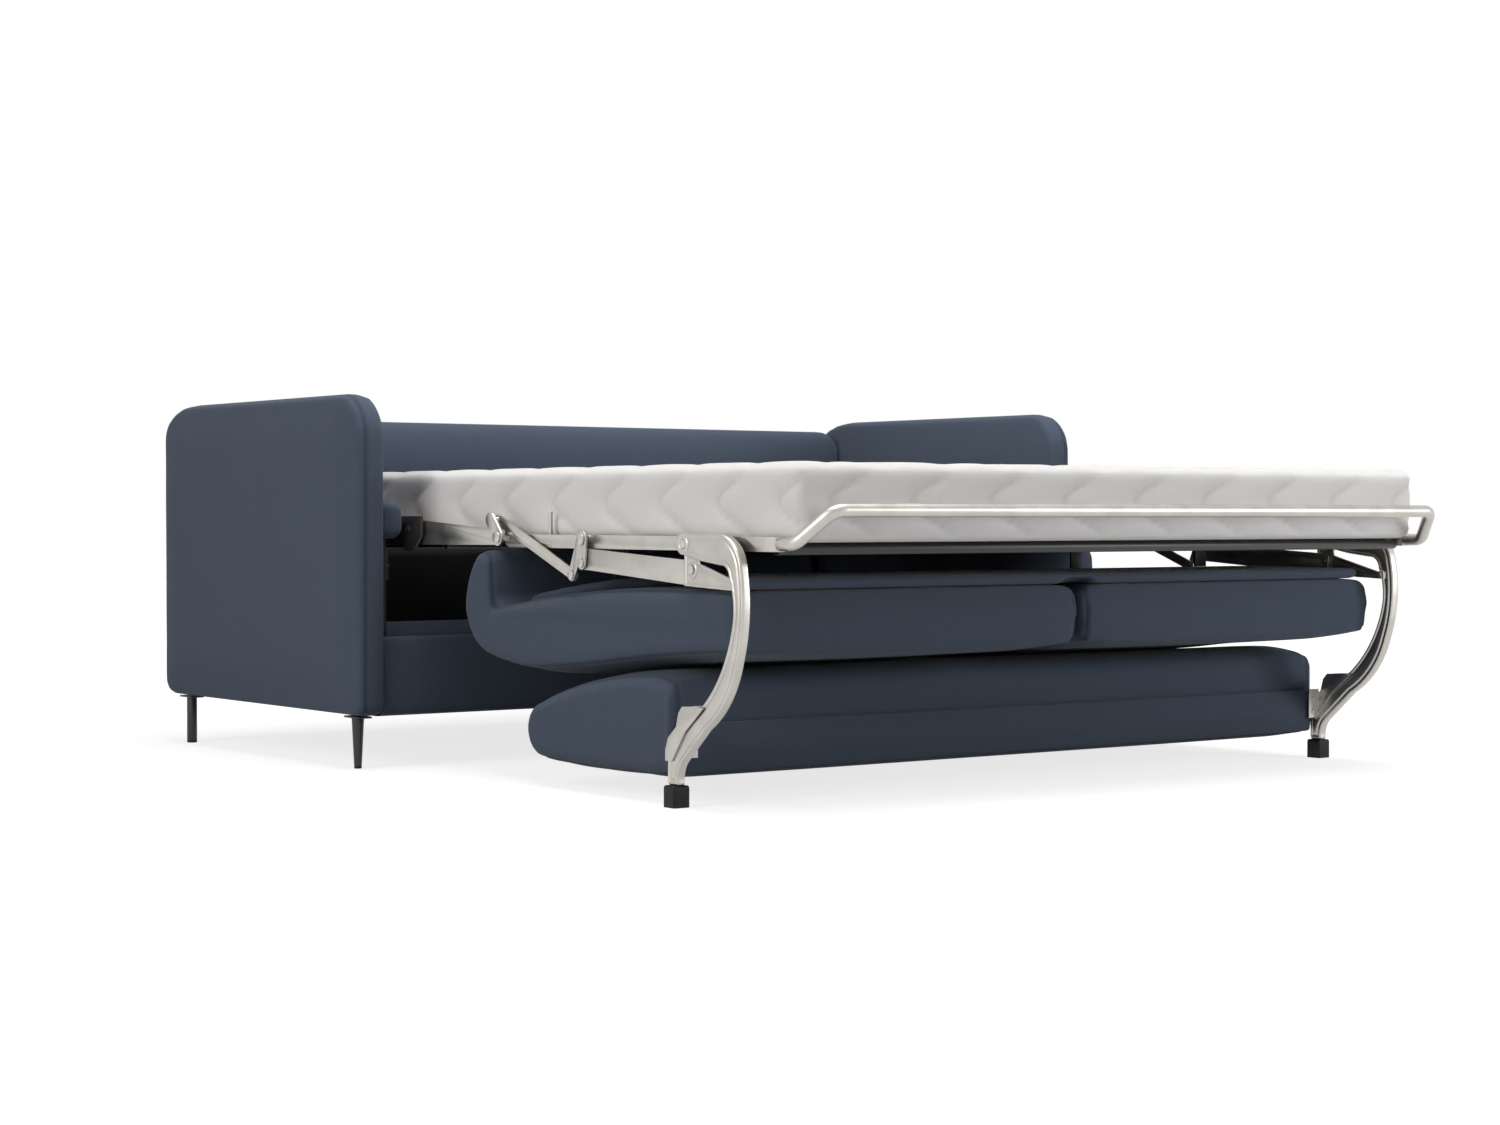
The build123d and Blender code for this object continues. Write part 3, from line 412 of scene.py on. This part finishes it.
class Finish:
    """A material under construction: its nodes, its links and its shader."""

    def __init__(self, name):
        self.material = bpy.data.materials.new(name)
        self.material.use_nodes = True
        self.tree = self.material.node_tree
        self.shader = self.tree.nodes["Principled BSDF"]
        self.place = self.add("ShaderNodeTexCoord").outputs["Object"]

    def add(self, kind, **settings):
        node = self.tree.nodes.new(kind)
        for key, value in settings.items():
            setattr(node, key, value)
        return node

    def link(self, source, target):
        self.tree.links.new(source, target)

    def math(self, operation, first, second=None):
        node = self.add("ShaderNodeMath", operation=operation)
        for index, value in enumerate((first, second)):
            if value is None:
                continue
            if isinstance(value, (int, float)):
                node.inputs[index].default_value = value
            else:
                self.link(value, node.inputs[index])
        return node.outputs[0]

    def noise(self, scale, detail=2.0):
        node = self.add("ShaderNodeTexNoise")
        node.inputs["Scale"].default_value = scale
        node.inputs["Detail"].default_value = detail
        self.link(self.place, node.inputs["Vector"])
        return node.outputs["Fac"]

    def mix(self, factor, first, second):
        """A colour between two colours, by a factor socket."""
        node = self.add("ShaderNodeMix", data_type="RGBA")
        self.link(factor, node.inputs["Factor"])
        for socket, value in ((node.inputs[6], first), (node.inputs[7], second)):
            if isinstance(value, bpy.types.NodeSocket):
                self.link(value, socket)
            else:
                socket.default_value = (*value, 1.0)
        return node.outputs[2]

    def ramp(self, factor, low, high):
        """A factor stretched so that low becomes 0 and high becomes 1."""
        node = self.add("ShaderNodeMapRange")
        node.inputs["From Min"].default_value = low
        node.inputs["From Max"].default_value = high
        self.link(factor, node.inputs["Value"])
        return node.outputs["Result"]

    def bump(self, height, distance, strength=1.0):
        node = self.add("ShaderNodeBump")
        node.inputs["Distance"].default_value = distance
        node.inputs["Strength"].default_value = strength
        self.link(height, node.inputs["Height"])
        self.link(node.outputs["Normal"], self.shader.inputs["Normal"])

    def set(self, **sockets):
        """Set plain values on the shader's own sockets."""
        for name, value in sockets.items():
            socket = name.replace("_", " ").title().replace("Ior", "IOR")
            self.shader.inputs[socket].default_value = value


def shade(colour, factor):
    return tuple(min(1.0, channel * factor) for channel in colour)


def weave(finish, threads):
    """Over-and-under threads on each face, picked by the way that the face looks."""
    axes = finish.add("ShaderNodeSeparateXYZ")
    finish.link(finish.place, axes.inputs[0])
    normal = finish.add("ShaderNodeSeparateXYZ")
    finish.link(finish.add("ShaderNodeTexCoord").outputs["Normal"], normal.inputs[0])
    waves = []
    for axis in range(3):
        turned = finish.math("MULTIPLY", axes.outputs[axis], threads)
        waves.append(finish.math("SINE", turned))
    total = None
    for axis in range(3):
        facing = finish.math("POWER", finish.math("ABSOLUTE", normal.outputs[axis]), 4.0)
        others = [waves[other] for other in range(3) if other != axis]
        cloth = finish.math("MULTIPLY", facing, finish.math("MULTIPLY", *others))
        total = cloth if total is None else finish.math("ADD", total, cloth)
    return total


def upholstery_finish():
    """Slate woven cover with a soft bloom, with painted shade in its seams."""
    colour = bpy.context.scene.sofabed_finish.upholstery
    finish = Finish("upholstery")
    threads = weave(finish, 2 * math.pi / THREAD)
    fleck = finish.noise(900.0, 3.0)
    drift = finish.ramp(finish.noise(3.5, 3.0), 0.3, 0.7)
    base = finish.mix(finish.ramp(fleck, 0.3, 0.7), shade(colour, 0.80), shade(colour, 1.18))
    base = finish.mix(finish.math("MULTIPLY", drift, 0.25), base, shade(colour, 0.86))
    # Painted shade: the seam mask darkens the cover in the dips of its seams.
    crease_shade = finish.add("ShaderNodeAttribute", attribute_name="seam").outputs["Fac"]
    base = finish.mix(finish.math("MULTIPLY", crease_shade, 0.6), base, shade(colour, 0.35))
    finish.link(base, finish.shader.inputs["Base Color"])
    finish.bump(finish.math("ADD", finish.math("MULTIPLY", threads, 0.5), fleck), 0.0006, 0.5)
    finish.set(roughness=0.9, sheen_weight=0.12, sheen_roughness=0.5, specular_ior_level=0.12)
    return finish.material


def ticking_finish():
    """White knit of the mattress, with painted shade along its quilting."""
    colour = bpy.context.scene.sofabed_finish.ticking
    finish = Finish("ticking")
    knit = weave(finish, 2 * math.pi / KNIT)
    fleck = finish.noise(700.0, 2.0)
    # Painted shade: the seam mask greys the knit along the dips of the quilting.
    crease_shade = finish.add("ShaderNodeAttribute", attribute_name="seam").outputs["Fac"]
    base = finish.mix(finish.ramp(fleck, 0.35, 0.65), shade(colour, 0.96), shade(colour, 1.03))
    base = finish.mix(finish.math("MULTIPLY", crease_shade, 0.35), base, shade(colour, 0.72))
    finish.link(base, finish.shader.inputs["Base Color"])
    finish.bump(finish.math("ADD", finish.math("MULTIPLY", knit, 0.4), fleck), 0.0005, 0.4)
    finish.set(roughness=0.85, sheen_weight=0.5, sheen_roughness=0.6, specular_ior_level=0.25)
    return finish.material


def steel_finish():
    """Satin metallic coat of the bed frame, slightly uneven."""
    colour = bpy.context.scene.sofabed_finish.steel
    finish = Finish("frame_coat")
    cloud = finish.ramp(finish.noise(22.0, 4.0), 0.35, 0.65)
    grain = finish.noise(1400.0, 2.0)
    base = finish.mix(cloud, shade(colour, 0.93), shade(colour, 1.05))
    finish.link(base, finish.shader.inputs["Base Color"])
    roughness = finish.math("ADD", finish.math("MULTIPLY", cloud, 0.08), 0.30)
    finish.link(roughness, finish.shader.inputs["Roughness"])
    finish.bump(grain, 0.0002, 0.3)
    finish.set(metallic=1.0)
    return finish.material


def plated_finish():
    """Zinc-plated pins, rivets and screws."""
    finish = Finish("plated_steel")
    cloud = finish.noise(60.0, 3.0)
    base = finish.mix(finish.ramp(cloud, 0.35, 0.65), (0.40, 0.40, 0.39), (0.55, 0.55, 0.53))
    finish.link(base, finish.shader.inputs["Base Color"])
    roughness = finish.math("ADD", finish.math("MULTIPLY", cloud, 0.2), 0.2)
    finish.link(roughness, finish.shader.inputs["Roughness"])
    finish.set(metallic=1.0)
    return finish.material


def black_finish():
    """Satin black powder coat with a fine orange-peel skin."""
    colour = bpy.context.scene.sofabed_finish.black
    finish = Finish("black_coat")
    skin = finish.noise(600.0, 2.0)
    base = finish.mix(finish.ramp(skin, 0.3, 0.7), shade(colour, 0.8), shade(colour, 1.4))
    finish.link(base, finish.shader.inputs["Base Color"])
    finish.bump(skin, 0.0004, 0.4)
    finish.set(roughness=0.42)
    return finish.material


def rubber_finish():
    """Matt black rubber and plastic, slightly scuffed."""
    finish = Finish("black_rubber")
    scuff = finish.ramp(finish.noise(80.0, 5.0), 0.45, 0.75)
    base = finish.mix(scuff, (0.004, 0.004, 0.004), (0.014, 0.014, 0.013))
    finish.link(base, finish.shader.inputs["Base Color"])
    roughness = finish.math("ADD", finish.math("MULTIPLY", scuff, 0.2), 0.5)
    finish.link(roughness, finish.shader.inputs["Roughness"])
    finish.bump(finish.noise(900.0, 2.0), 0.0003, 0.4)
    finish.set(specular_ior_level=0.25)
    return finish.material


def wood_finish(name, colour, along, rings):
    """Wood grain stretched along one axis."""
    finish = Finish(name)
    mapping = finish.add("ShaderNodeMapping")
    mapping.inputs["Scale"].default_value = [0.06 if axis == along else 1.0 for axis in range(3)]
    finish.link(finish.place, mapping.inputs["Vector"])
    grain = finish.add("ShaderNodeTexNoise")
    grain.inputs["Scale"].default_value = rings
    grain.inputs["Detail"].default_value = 6.0
    finish.link(mapping.outputs[0], grain.inputs["Vector"])
    streak = finish.ramp(grain.outputs["Fac"], 0.35, 0.68)
    base = finish.mix(streak, shade(colour, 0.72), shade(colour, 1.15))
    finish.link(base, finish.shader.inputs["Base Color"])
    finish.bump(grain.outputs["Fac"], 0.0004, 0.4)
    finish.set(roughness=0.55)
    return finish.material


def liner_finish():
    """Black non-woven dust cover."""
    finish = Finish("liner_cloth")
    felt = finish.noise(420.0, 4.0)
    base = finish.mix(finish.ramp(felt, 0.3, 0.7), (0.004, 0.004, 0.005), (0.013, 0.013, 0.015))
    finish.link(base, finish.shader.inputs["Base Color"])
    finish.bump(felt, 0.0006, 0.5)
    finish.set(roughness=0.95)
    return finish.material


MATERIALS = {}


def material(slot):
    """The finish of one of the record's material slots, made once."""
    beech = bpy.context.scene.sofabed_finish.beech
    makers = {
        "upholstery": upholstery_finish,
        "mattress_ticking": ticking_finish,
        "frame_paint": steel_finish,
        "bare_steel": plated_finish,
        "black_metal": black_finish,
        "rubber": rubber_finish,
        "glide": rubber_finish,
        "liner": liner_finish,
        "slat_wood": lambda: wood_finish("beech", beech, 0, 140.0),
        "frame_wood": lambda: wood_finish("raw_board", (0.020, 0.017, 0.014), 0, 90.0),
    }
    if slot not in MATERIALS:
        MATERIALS[slot] = makers[slot]()
    return MATERIALS[slot]


# Operators


class SOFABED_OT_arms(bpy.types.Operator):
    """Two slim padded arms with a seam round their boxing"""

    bl_idname = "sofabed.arms"
    bl_label = "Arms"

    def execute(self, context):
        low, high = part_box("right_arm")
        inner = low.x + ARM_TACK + context.scene.sofabed_padding.inset
        seam = high.x - ARM_WELT
        arm = upholstered("right_arm", "right_arm_cover", lambda place: place.x < inner, swell=ARM_SWELL)

        def boxing(place, normal):
            return abs(place.x - seam) if abs(normal.x) < END_FACE else 1.0

        sew(arm, boxing)
        for name, piece in (("right_arm", arm), ("left_arm", mirrored(arm, "left_arm_cover"))):
            dress(piece, "sofa_base", [name], material("upholstery"))
        return {"FINISHED"}


class SOFABED_OT_shell(bpy.types.Operator):
    """Padded back, front panel and the rolls on the side frames"""

    bl_idname = "sofabed.shell"
    bl_label = "Back, front panel and rolls"

    def execute(self, context):
        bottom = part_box("back_panel")[0].z
        back = upholstered("back_panel", "back_cover", lambda place: place.z < bottom + BACK_TACK)
        dress(back, "sofa_base", ["back_panel"], material("upholstery"))

        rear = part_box("front_panel")[1].y
        front = upholstered("front_panel", "front_cover", lambda place: place.y > rear - TACK,
                            inset=BOARD_INSET, swell=BOARD_SWELL)
        dress(front, "sofa_base", ["front_panel"], material("upholstery"))

        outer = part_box("right_arm_bolster")[1].x
        bolster = upholstered("right_arm_bolster", "right_roll", lambda place: place.x > outer - TACK)
        rolls = (("right_arm_bolster", bolster), ("left_arm_bolster", mirrored(bolster, "left_roll")))
        for name, piece in rolls:
            dress(piece, "sofa_base", [name], material("upholstery"))
        return {"FINISHED"}


class SOFABED_OT_seat(bpy.types.Operator):
    """Two hanging seat cushions and their board"""

    bl_idname = "sofabed.seat"
    bl_label = "Seat cushions"

    def execute(self, context):
        low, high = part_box("right_seat_cushion")
        board_low, board_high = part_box("seat_board")

        def on_board(place):
            return place.z > board_low.z - TACK and board_low.y < place.y < board_high.y

        seat = upholstered("right_seat_cushion", "right_seat", on_board)

        def end_panels(place, normal):
            near = min(abs(place.x - low.x - SEAT_WELT), abs(place.x - high.x + SEAT_WELT))
            return near if abs(normal.x) < END_FACE else 1.0

        sew(seat, end_panels)
        for name, piece in (("right_seat_cushion", seat), ("left_seat_cushion", mirrored(seat, "left_seat"))):
            dress(piece, "foot_section", [name], material("upholstery"))
        board = upholstered("seat_board", "seat_strip", lambda place: True, inset=STRIP_INSET)
        dress(board, "foot_section", ["seat_board"], material("upholstery"))
        return {"FINISHED"}


class SOFABED_OT_back_cushion(bpy.types.Operator):
    """Long back cushion with the covered board along its lower edge"""

    bl_idname = "sofabed.back_cushion"
    bl_label = "Back cushion"

    def execute(self, context):
        low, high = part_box("back_cushion")
        front = low.y
        cushion = upholstered("back_cushion", "back_cushion_cover", lambda place: place.y < front + TACK)

        def end_panels(place, normal):
            return abs(abs(place.x) - high.x + CUSHION_WELT) if abs(normal.x) < END_FACE else 1.0

        sew(cushion, end_panels)
        dress(cushion, "leg_unit", ["back_cushion"], material("upholstery"))
        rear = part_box("back_board")[1].y
        board = upholstered("back_board", "back_board_cover", lambda place: place.y > rear - BOARD_TACK,
                            inset=BOARD_INSET, swell=BOARD_SWELL)
        dress(board, "leg_unit", ["back_board"], material("upholstery"))
        return {"FINISHED"}


class SOFABED_OT_mattress(bpy.types.Operator):
    """One quilted mattress over the head and foot halves of the bed"""

    bl_idname = "sofabed.mattress"
    bl_label = "Mattress"

    def sheet(self, low, high, step):
        """A fine grid for the top and one for the underside, bridged by the sides."""
        bpy.ops.object.select_all(action="DESELECT")
        span = high - low
        counts = [max(2, round(span[axis] / step)) for axis in range(3)]
        bpy.ops.mesh.primitive_grid_add(x_subdivisions=counts[0], y_subdivisions=counts[1], size=1.0)
        piece = bpy.context.object
        piece.name = "mattress_cover"
        piece.scale = (span.x, span.y, 1.0)
        piece.location = ((low.x + high.x) / 2, (low.y + high.y) / 2, high.z)
        bpy.ops.object.transform_apply(location=True, rotation=True, scale=True)
        bpy.ops.object.mode_set(mode="EDIT")
        bpy.ops.mesh.select_all(action="SELECT")
        bpy.ops.mesh.duplicate_move(TRANSFORM_OT_translate={"value": (0, 0, -span.z)})
        bpy.ops.mesh.select_all(action="SELECT")
        bpy.ops.mesh.region_to_loop()
        bpy.ops.mesh.bridge_edge_loops(number_cuts=counts[2] - 1, interpolation="LINEAR")
        bpy.ops.mesh.select_all(action="SELECT")
        bpy.ops.mesh.normals_make_consistent(inside=False)
        bpy.ops.object.mode_set(mode="OBJECT")
        return piece

    def execute(self, context):
        quilt = context.scene.sofabed_quilt
        low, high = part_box("mattress_head")
        low.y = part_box("mattress_foot")[0].y
        piece = self.sheet(low, high, quilt.mesh)
        middle = (low + high) / 2
        half = (high - low) / 2
        core = half - Vector((quilt.edge,) * 3)

        def scallop(inward, length):
            """Lean of a seam at a distance from the mattress's edge, swept like a fish scale."""
            return quilt.sway * math.cos(math.pi * inward / length) ** 2

        def to_seam(along):
            share = (along / quilt.pitch) % 1.0
            return quilt.pitch * min(share, 1.0 - share)

        mesh = piece.data
        crease_shades = mesh.attributes.new("seam", "FLOAT", "POINT")
        for vertex in mesh.vertices:
            out = vertex.co - middle
            share = [abs(out[axis]) / half[axis] for axis in range(3)]
            depth = half.z - out.z
            inner = Vector([max(-core[axis], min(core[axis], out[axis])) for axis in range(3)])
            rim = out - inner
            normal = rim.normalized() if rim.length > 0 else Vector((0, 0, 1))
            if rim.length > 0:
                out = inner + normal * quilt.edge
            side = depth > TINY
            if side and share[0] >= 1.0 - TINY:
                gaps = [to_seam(out.y + scallop(depth, 2 * half.z))]
            elif side:
                gaps = [to_seam(out.x - scallop(depth, 2 * half.z))]
            else:
                across = half.x - abs(out.x)
                down = half.y - abs(out.y)
                gaps = [to_seam(out.y + scallop(across, half.x / 3)),
                        to_seam(out.x - scallop(down, half.y / 4))]
            fullness = 1.0
            crease_shade = 0.0
            for gap in gaps:
                fullness *= 1.0 - math.exp(-gap / quilt.spread)
                # The stitch mark paints shade along each quilting seam, kept in the seam attribute.
                crease_shade = max(crease_shade, math.exp(-((gap / STITCH_SHADE) ** 2)))
            if depth < 2 * half.z - TINY:
                calm = min(1.0, abs(depth - quilt.edge / 2) / quilt.edge)
                out -= normal * quilt.depth * calm * (1.0 - fullness)
                crease_shades.data[vertex.index].value = crease_shade * calm
            vertex.co = middle + out
        mesh.update()
        only(piece)
        bpy.ops.object.shade_smooth()
        piece.data.materials.append(material("mattress_ticking"))
        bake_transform(piece)
        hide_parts("mattress_head", "mattress_foot")
        return {"FINISHED"}


class SOFABED_OT_legs(bpy.types.Operator):
    """Pressed bed legs with a bead along their outline"""

    bl_idname = "sofabed.legs"
    bl_label = "Bed legs"

    def execute(self, context):
        leg = pressed("right_bed_leg", "right_leg_pressing")
        for name, piece in (("right_bed_leg", leg), ("left_bed_leg", mirrored(leg, "left_leg_pressing"))):
            dress(piece, "leg_unit", [name], material("frame_paint"))
        return {"FINISHED"}


class SOFABED_OT_lining(bpy.types.Operator):
    """Black lining cloth stretched across the inside of the back"""

    bl_idname = "sofabed.lining"
    bl_label = "Lining"

    def execute(self, context):
        rail_low, rail_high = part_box("rear_rail")
        liner_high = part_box("bottom_liner")[1]
        half = rail_high.x - LINING_GAP
        low = liner_high.z + LINING_BELOW
        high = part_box("head_cross_tubes")[0].z - LINING_ABOVE
        bpy.ops.object.select_all(action="DESELECT")
        bpy.ops.mesh.primitive_grid_add(x_subdivisions=LINING_COLUMNS, y_subdivisions=LINING_ROWS, size=1.0)
        cloth = bpy.context.object
        cloth.name = "inner_lining"
        cloth.scale = (2 * half, high - low, 1.0)
        cloth.rotation_euler = (math.pi / 2, 0.0, 0.0)
        cloth.location = (0.0, rail_low.y - LINING_GAP, (low + high) / 2)
        bpy.ops.object.transform_apply(location=True, rotation=True, scale=True)
        for vertex in cloth.data.vertices:
            share = (vertex.co.z - low) / (high - low)
            pull = math.sin(math.pi * share)
            vertex.co.y -= LINING_FOLD * pull * (1.0 + math.cos(vertex.co.x * 2 * math.pi / LINING_PITCH))
        apply_modifier(cloth, "SOLIDIFY", thickness=LINING_THICK, offset=0.0)
        only(cloth)
        bpy.ops.object.shade_smooth()
        dress(cloth, "sofa_base", [], material("liner"))
        return {"FINISHED"}


class SOFABED_OT_frame(bpy.types.Operator):
    """Bed frame, linkage, pins, boards and sofa legs with eased edges"""

    bl_idname = "sofabed.frame"
    bl_label = "Frame"

    def execute(self, context):
        edge = context.scene.sofabed_metal.edge
        for node in SLOT_OF:
            if not frame["nodes"][node].hide_render:
                eased(node, edge)
        return {"FINISHED"}


class SOFABED_OT_studio(bpy.types.Operator):
    """Pale floor, soft light and the photograph's camera"""

    bl_idname = "sofabed.studio"
    bl_label = "Studio"

    def floor(self):
        bpy.ops.object.select_all(action="DESELECT")
        bpy.ops.mesh.primitive_plane_add(size=FLOOR_SIZE, location=(0, 0, 0))
        floor = bpy.context.object
        floor.name = "studio_floor"
        paint = bpy.data.materials.new("studio_floor")
        paint.use_nodes = True
        nodes = paint.node_tree.nodes
        links = paint.node_tree.links
        shader = nodes["Principled BSDF"]
        shader.inputs["Base Color"].default_value = (FLOOR_GREY, FLOOR_GREY, FLOOR_GREY, 1.0)
        shader.inputs["Roughness"].default_value = 0.9
        shader.inputs["Specular IOR Level"].default_value = 0.0
        path = nodes.new("ShaderNodeLightPath")
        seen = nodes.new("ShaderNodeMath")
        seen.operation = "MAXIMUM"
        links.new(path.outputs["Is Camera Ray"], seen.inputs[0])
        links.new(path.outputs["Is Glossy Ray"], seen.inputs[1])
        place = nodes.new("ShaderNodeTexCoord")
        reach = nodes.new("ShaderNodeVectorMath")
        reach.operation = "LENGTH"
        links.new(place.outputs["Object"], reach.inputs[0])
        fade = nodes.new("ShaderNodeMapRange")
        fade.interpolation_type = "SMOOTHSTEP"
        fade.inputs["From Min"].default_value = GLOW_NEAR[0]
        fade.inputs["From Max"].default_value = GLOW_FAR[0]
        fade.inputs["To Min"].default_value = GLOW_NEAR[1]
        fade.inputs["To Max"].default_value = GLOW_FAR[1]
        links.new(reach.outputs["Value"], fade.inputs["Value"])
        glow = nodes.new("ShaderNodeMath")
        glow.operation = "MULTIPLY"
        links.new(fade.outputs["Result"], glow.inputs[1])
        links.new(seen.outputs[0], glow.inputs[0])
        shader.inputs["Emission Color"].default_value = (1.0, 1.0, 1.0, 1.0)
        links.new(glow.outputs[0], shader.inputs["Emission Strength"])
        floor.data.materials.append(paint)

    def world(self):
        world = bpy.data.worlds.new("studio")
        bpy.context.scene.world = world
        world.use_nodes = True
        nodes = world.node_tree.nodes
        links = world.node_tree.links
        background = nodes["Background"]
        background.inputs["Color"].default_value = (1.0, 1.0, 1.0, 1.0)
        path = nodes.new("ShaderNodeLightPath")
        seen = path.outputs["Is Camera Ray"]
        for ray in ("Is Glossy Ray", "Is Transmission Ray"):
            node = nodes.new("ShaderNodeMath")
            node.operation = "MAXIMUM"
            links.new(seen, node.inputs[0])
            links.new(path.outputs[ray], node.inputs[1])
            seen = node.outputs[0]
        strength = nodes.new("ShaderNodeMapRange")
        strength.inputs["To Min"].default_value = AMBIENT
        strength.inputs["To Max"].default_value = 1.0
        links.new(seen, strength.inputs["Value"])
        links.new(strength.outputs["Result"], background.inputs["Strength"])

    def lamp(self, name, place, target, size, power):
        light = bpy.data.lights.new(name, "AREA")
        light.size = size
        light.energy = power
        lamp = bpy.data.objects.new(name, light)
        lamp.location = place
        lamp.rotation_euler = (Vector(target) - Vector(place)).to_track_quat("-Z", "Y").to_euler()
        bpy.context.scene.collection.objects.link(lamp)

    def camera(self):
        camera = bpy.data.objects.new("photo_camera", bpy.data.cameras.new("photo_camera"))
        camera.location = CAMERA_PLACE
        camera.rotation_euler = (math.pi / 2 + CAMERA_PITCH, 0.0, CAMERA_TURN)
        camera.data.lens = CAMERA_LENS
        camera.data.sensor_width = CAMERA_SENSOR
        camera.data.sensor_fit = "HORIZONTAL"
        bpy.context.scene.collection.objects.link(camera)
        bpy.context.scene.camera = camera

    def execute(self, context):
        self.floor()
        self.world()
        for lamp in LAMPS:
            self.lamp(*lamp)
        self.camera()
        view = context.scene.view_settings
        view.view_transform = "Standard"
        return {"FINISHED"}


class SOFABED_PT_panel(bpy.types.Panel):
    """Lists the sofa bed's pieces"""

    bl_label = "Sofa bed"
    bl_space_type = "VIEW_3D"
    bl_region_type = "UI"
    bl_category = "Sofa bed"

    def draw(self, context):
        for operator in OPERATORS:
            self.layout.operator(operator.bl_idname)
        for group in GROUPS:
            settings = getattr(context.scene, group)
            for name in settings.__annotations__:
                self.layout.prop(settings, name)


GROUPS = {
    "sofabed_finish": SofaBedFinish,
    "sofabed_padding": SofaBedPadding,
    "sofabed_metal": SofaBedMetal,
    "sofabed_quilt": SofaBedQuilt,
}
OPERATORS = (
    SOFABED_OT_studio,
    SOFABED_OT_arms,
    SOFABED_OT_shell,
    SOFABED_OT_seat,
    SOFABED_OT_back_cushion,
    SOFABED_OT_mattress,
    SOFABED_OT_legs,
    SOFABED_OT_lining,
    SOFABED_OT_frame,
)
CLASSES = (*GROUPS.values(), *OPERATORS, SOFABED_PT_panel)


def register():
    for cls in CLASSES:
        bpy.utils.register_class(cls)
    for name, group in GROUPS.items():
        setattr(bpy.types.Scene, name, bpy.props.PointerProperty(type=group))


def unregister():
    for name in GROUPS:
        delattr(bpy.types.Scene, name)
    for cls in reversed(CLASSES):
        bpy.utils.unregister_class(cls)


def main():
    register()
    bpy.ops.sofabed.studio()
    bpy.ops.sofabed.arms()
    bpy.ops.sofabed.shell()
    bpy.ops.sofabed.seat()
    bpy.ops.sofabed.back_cushion()
    bpy.ops.sofabed.mattress()
    bpy.ops.sofabed.legs()
    bpy.ops.sofabed.lining()
    bpy.ops.sofabed.frame()


if __name__ == "__main__":
    main()
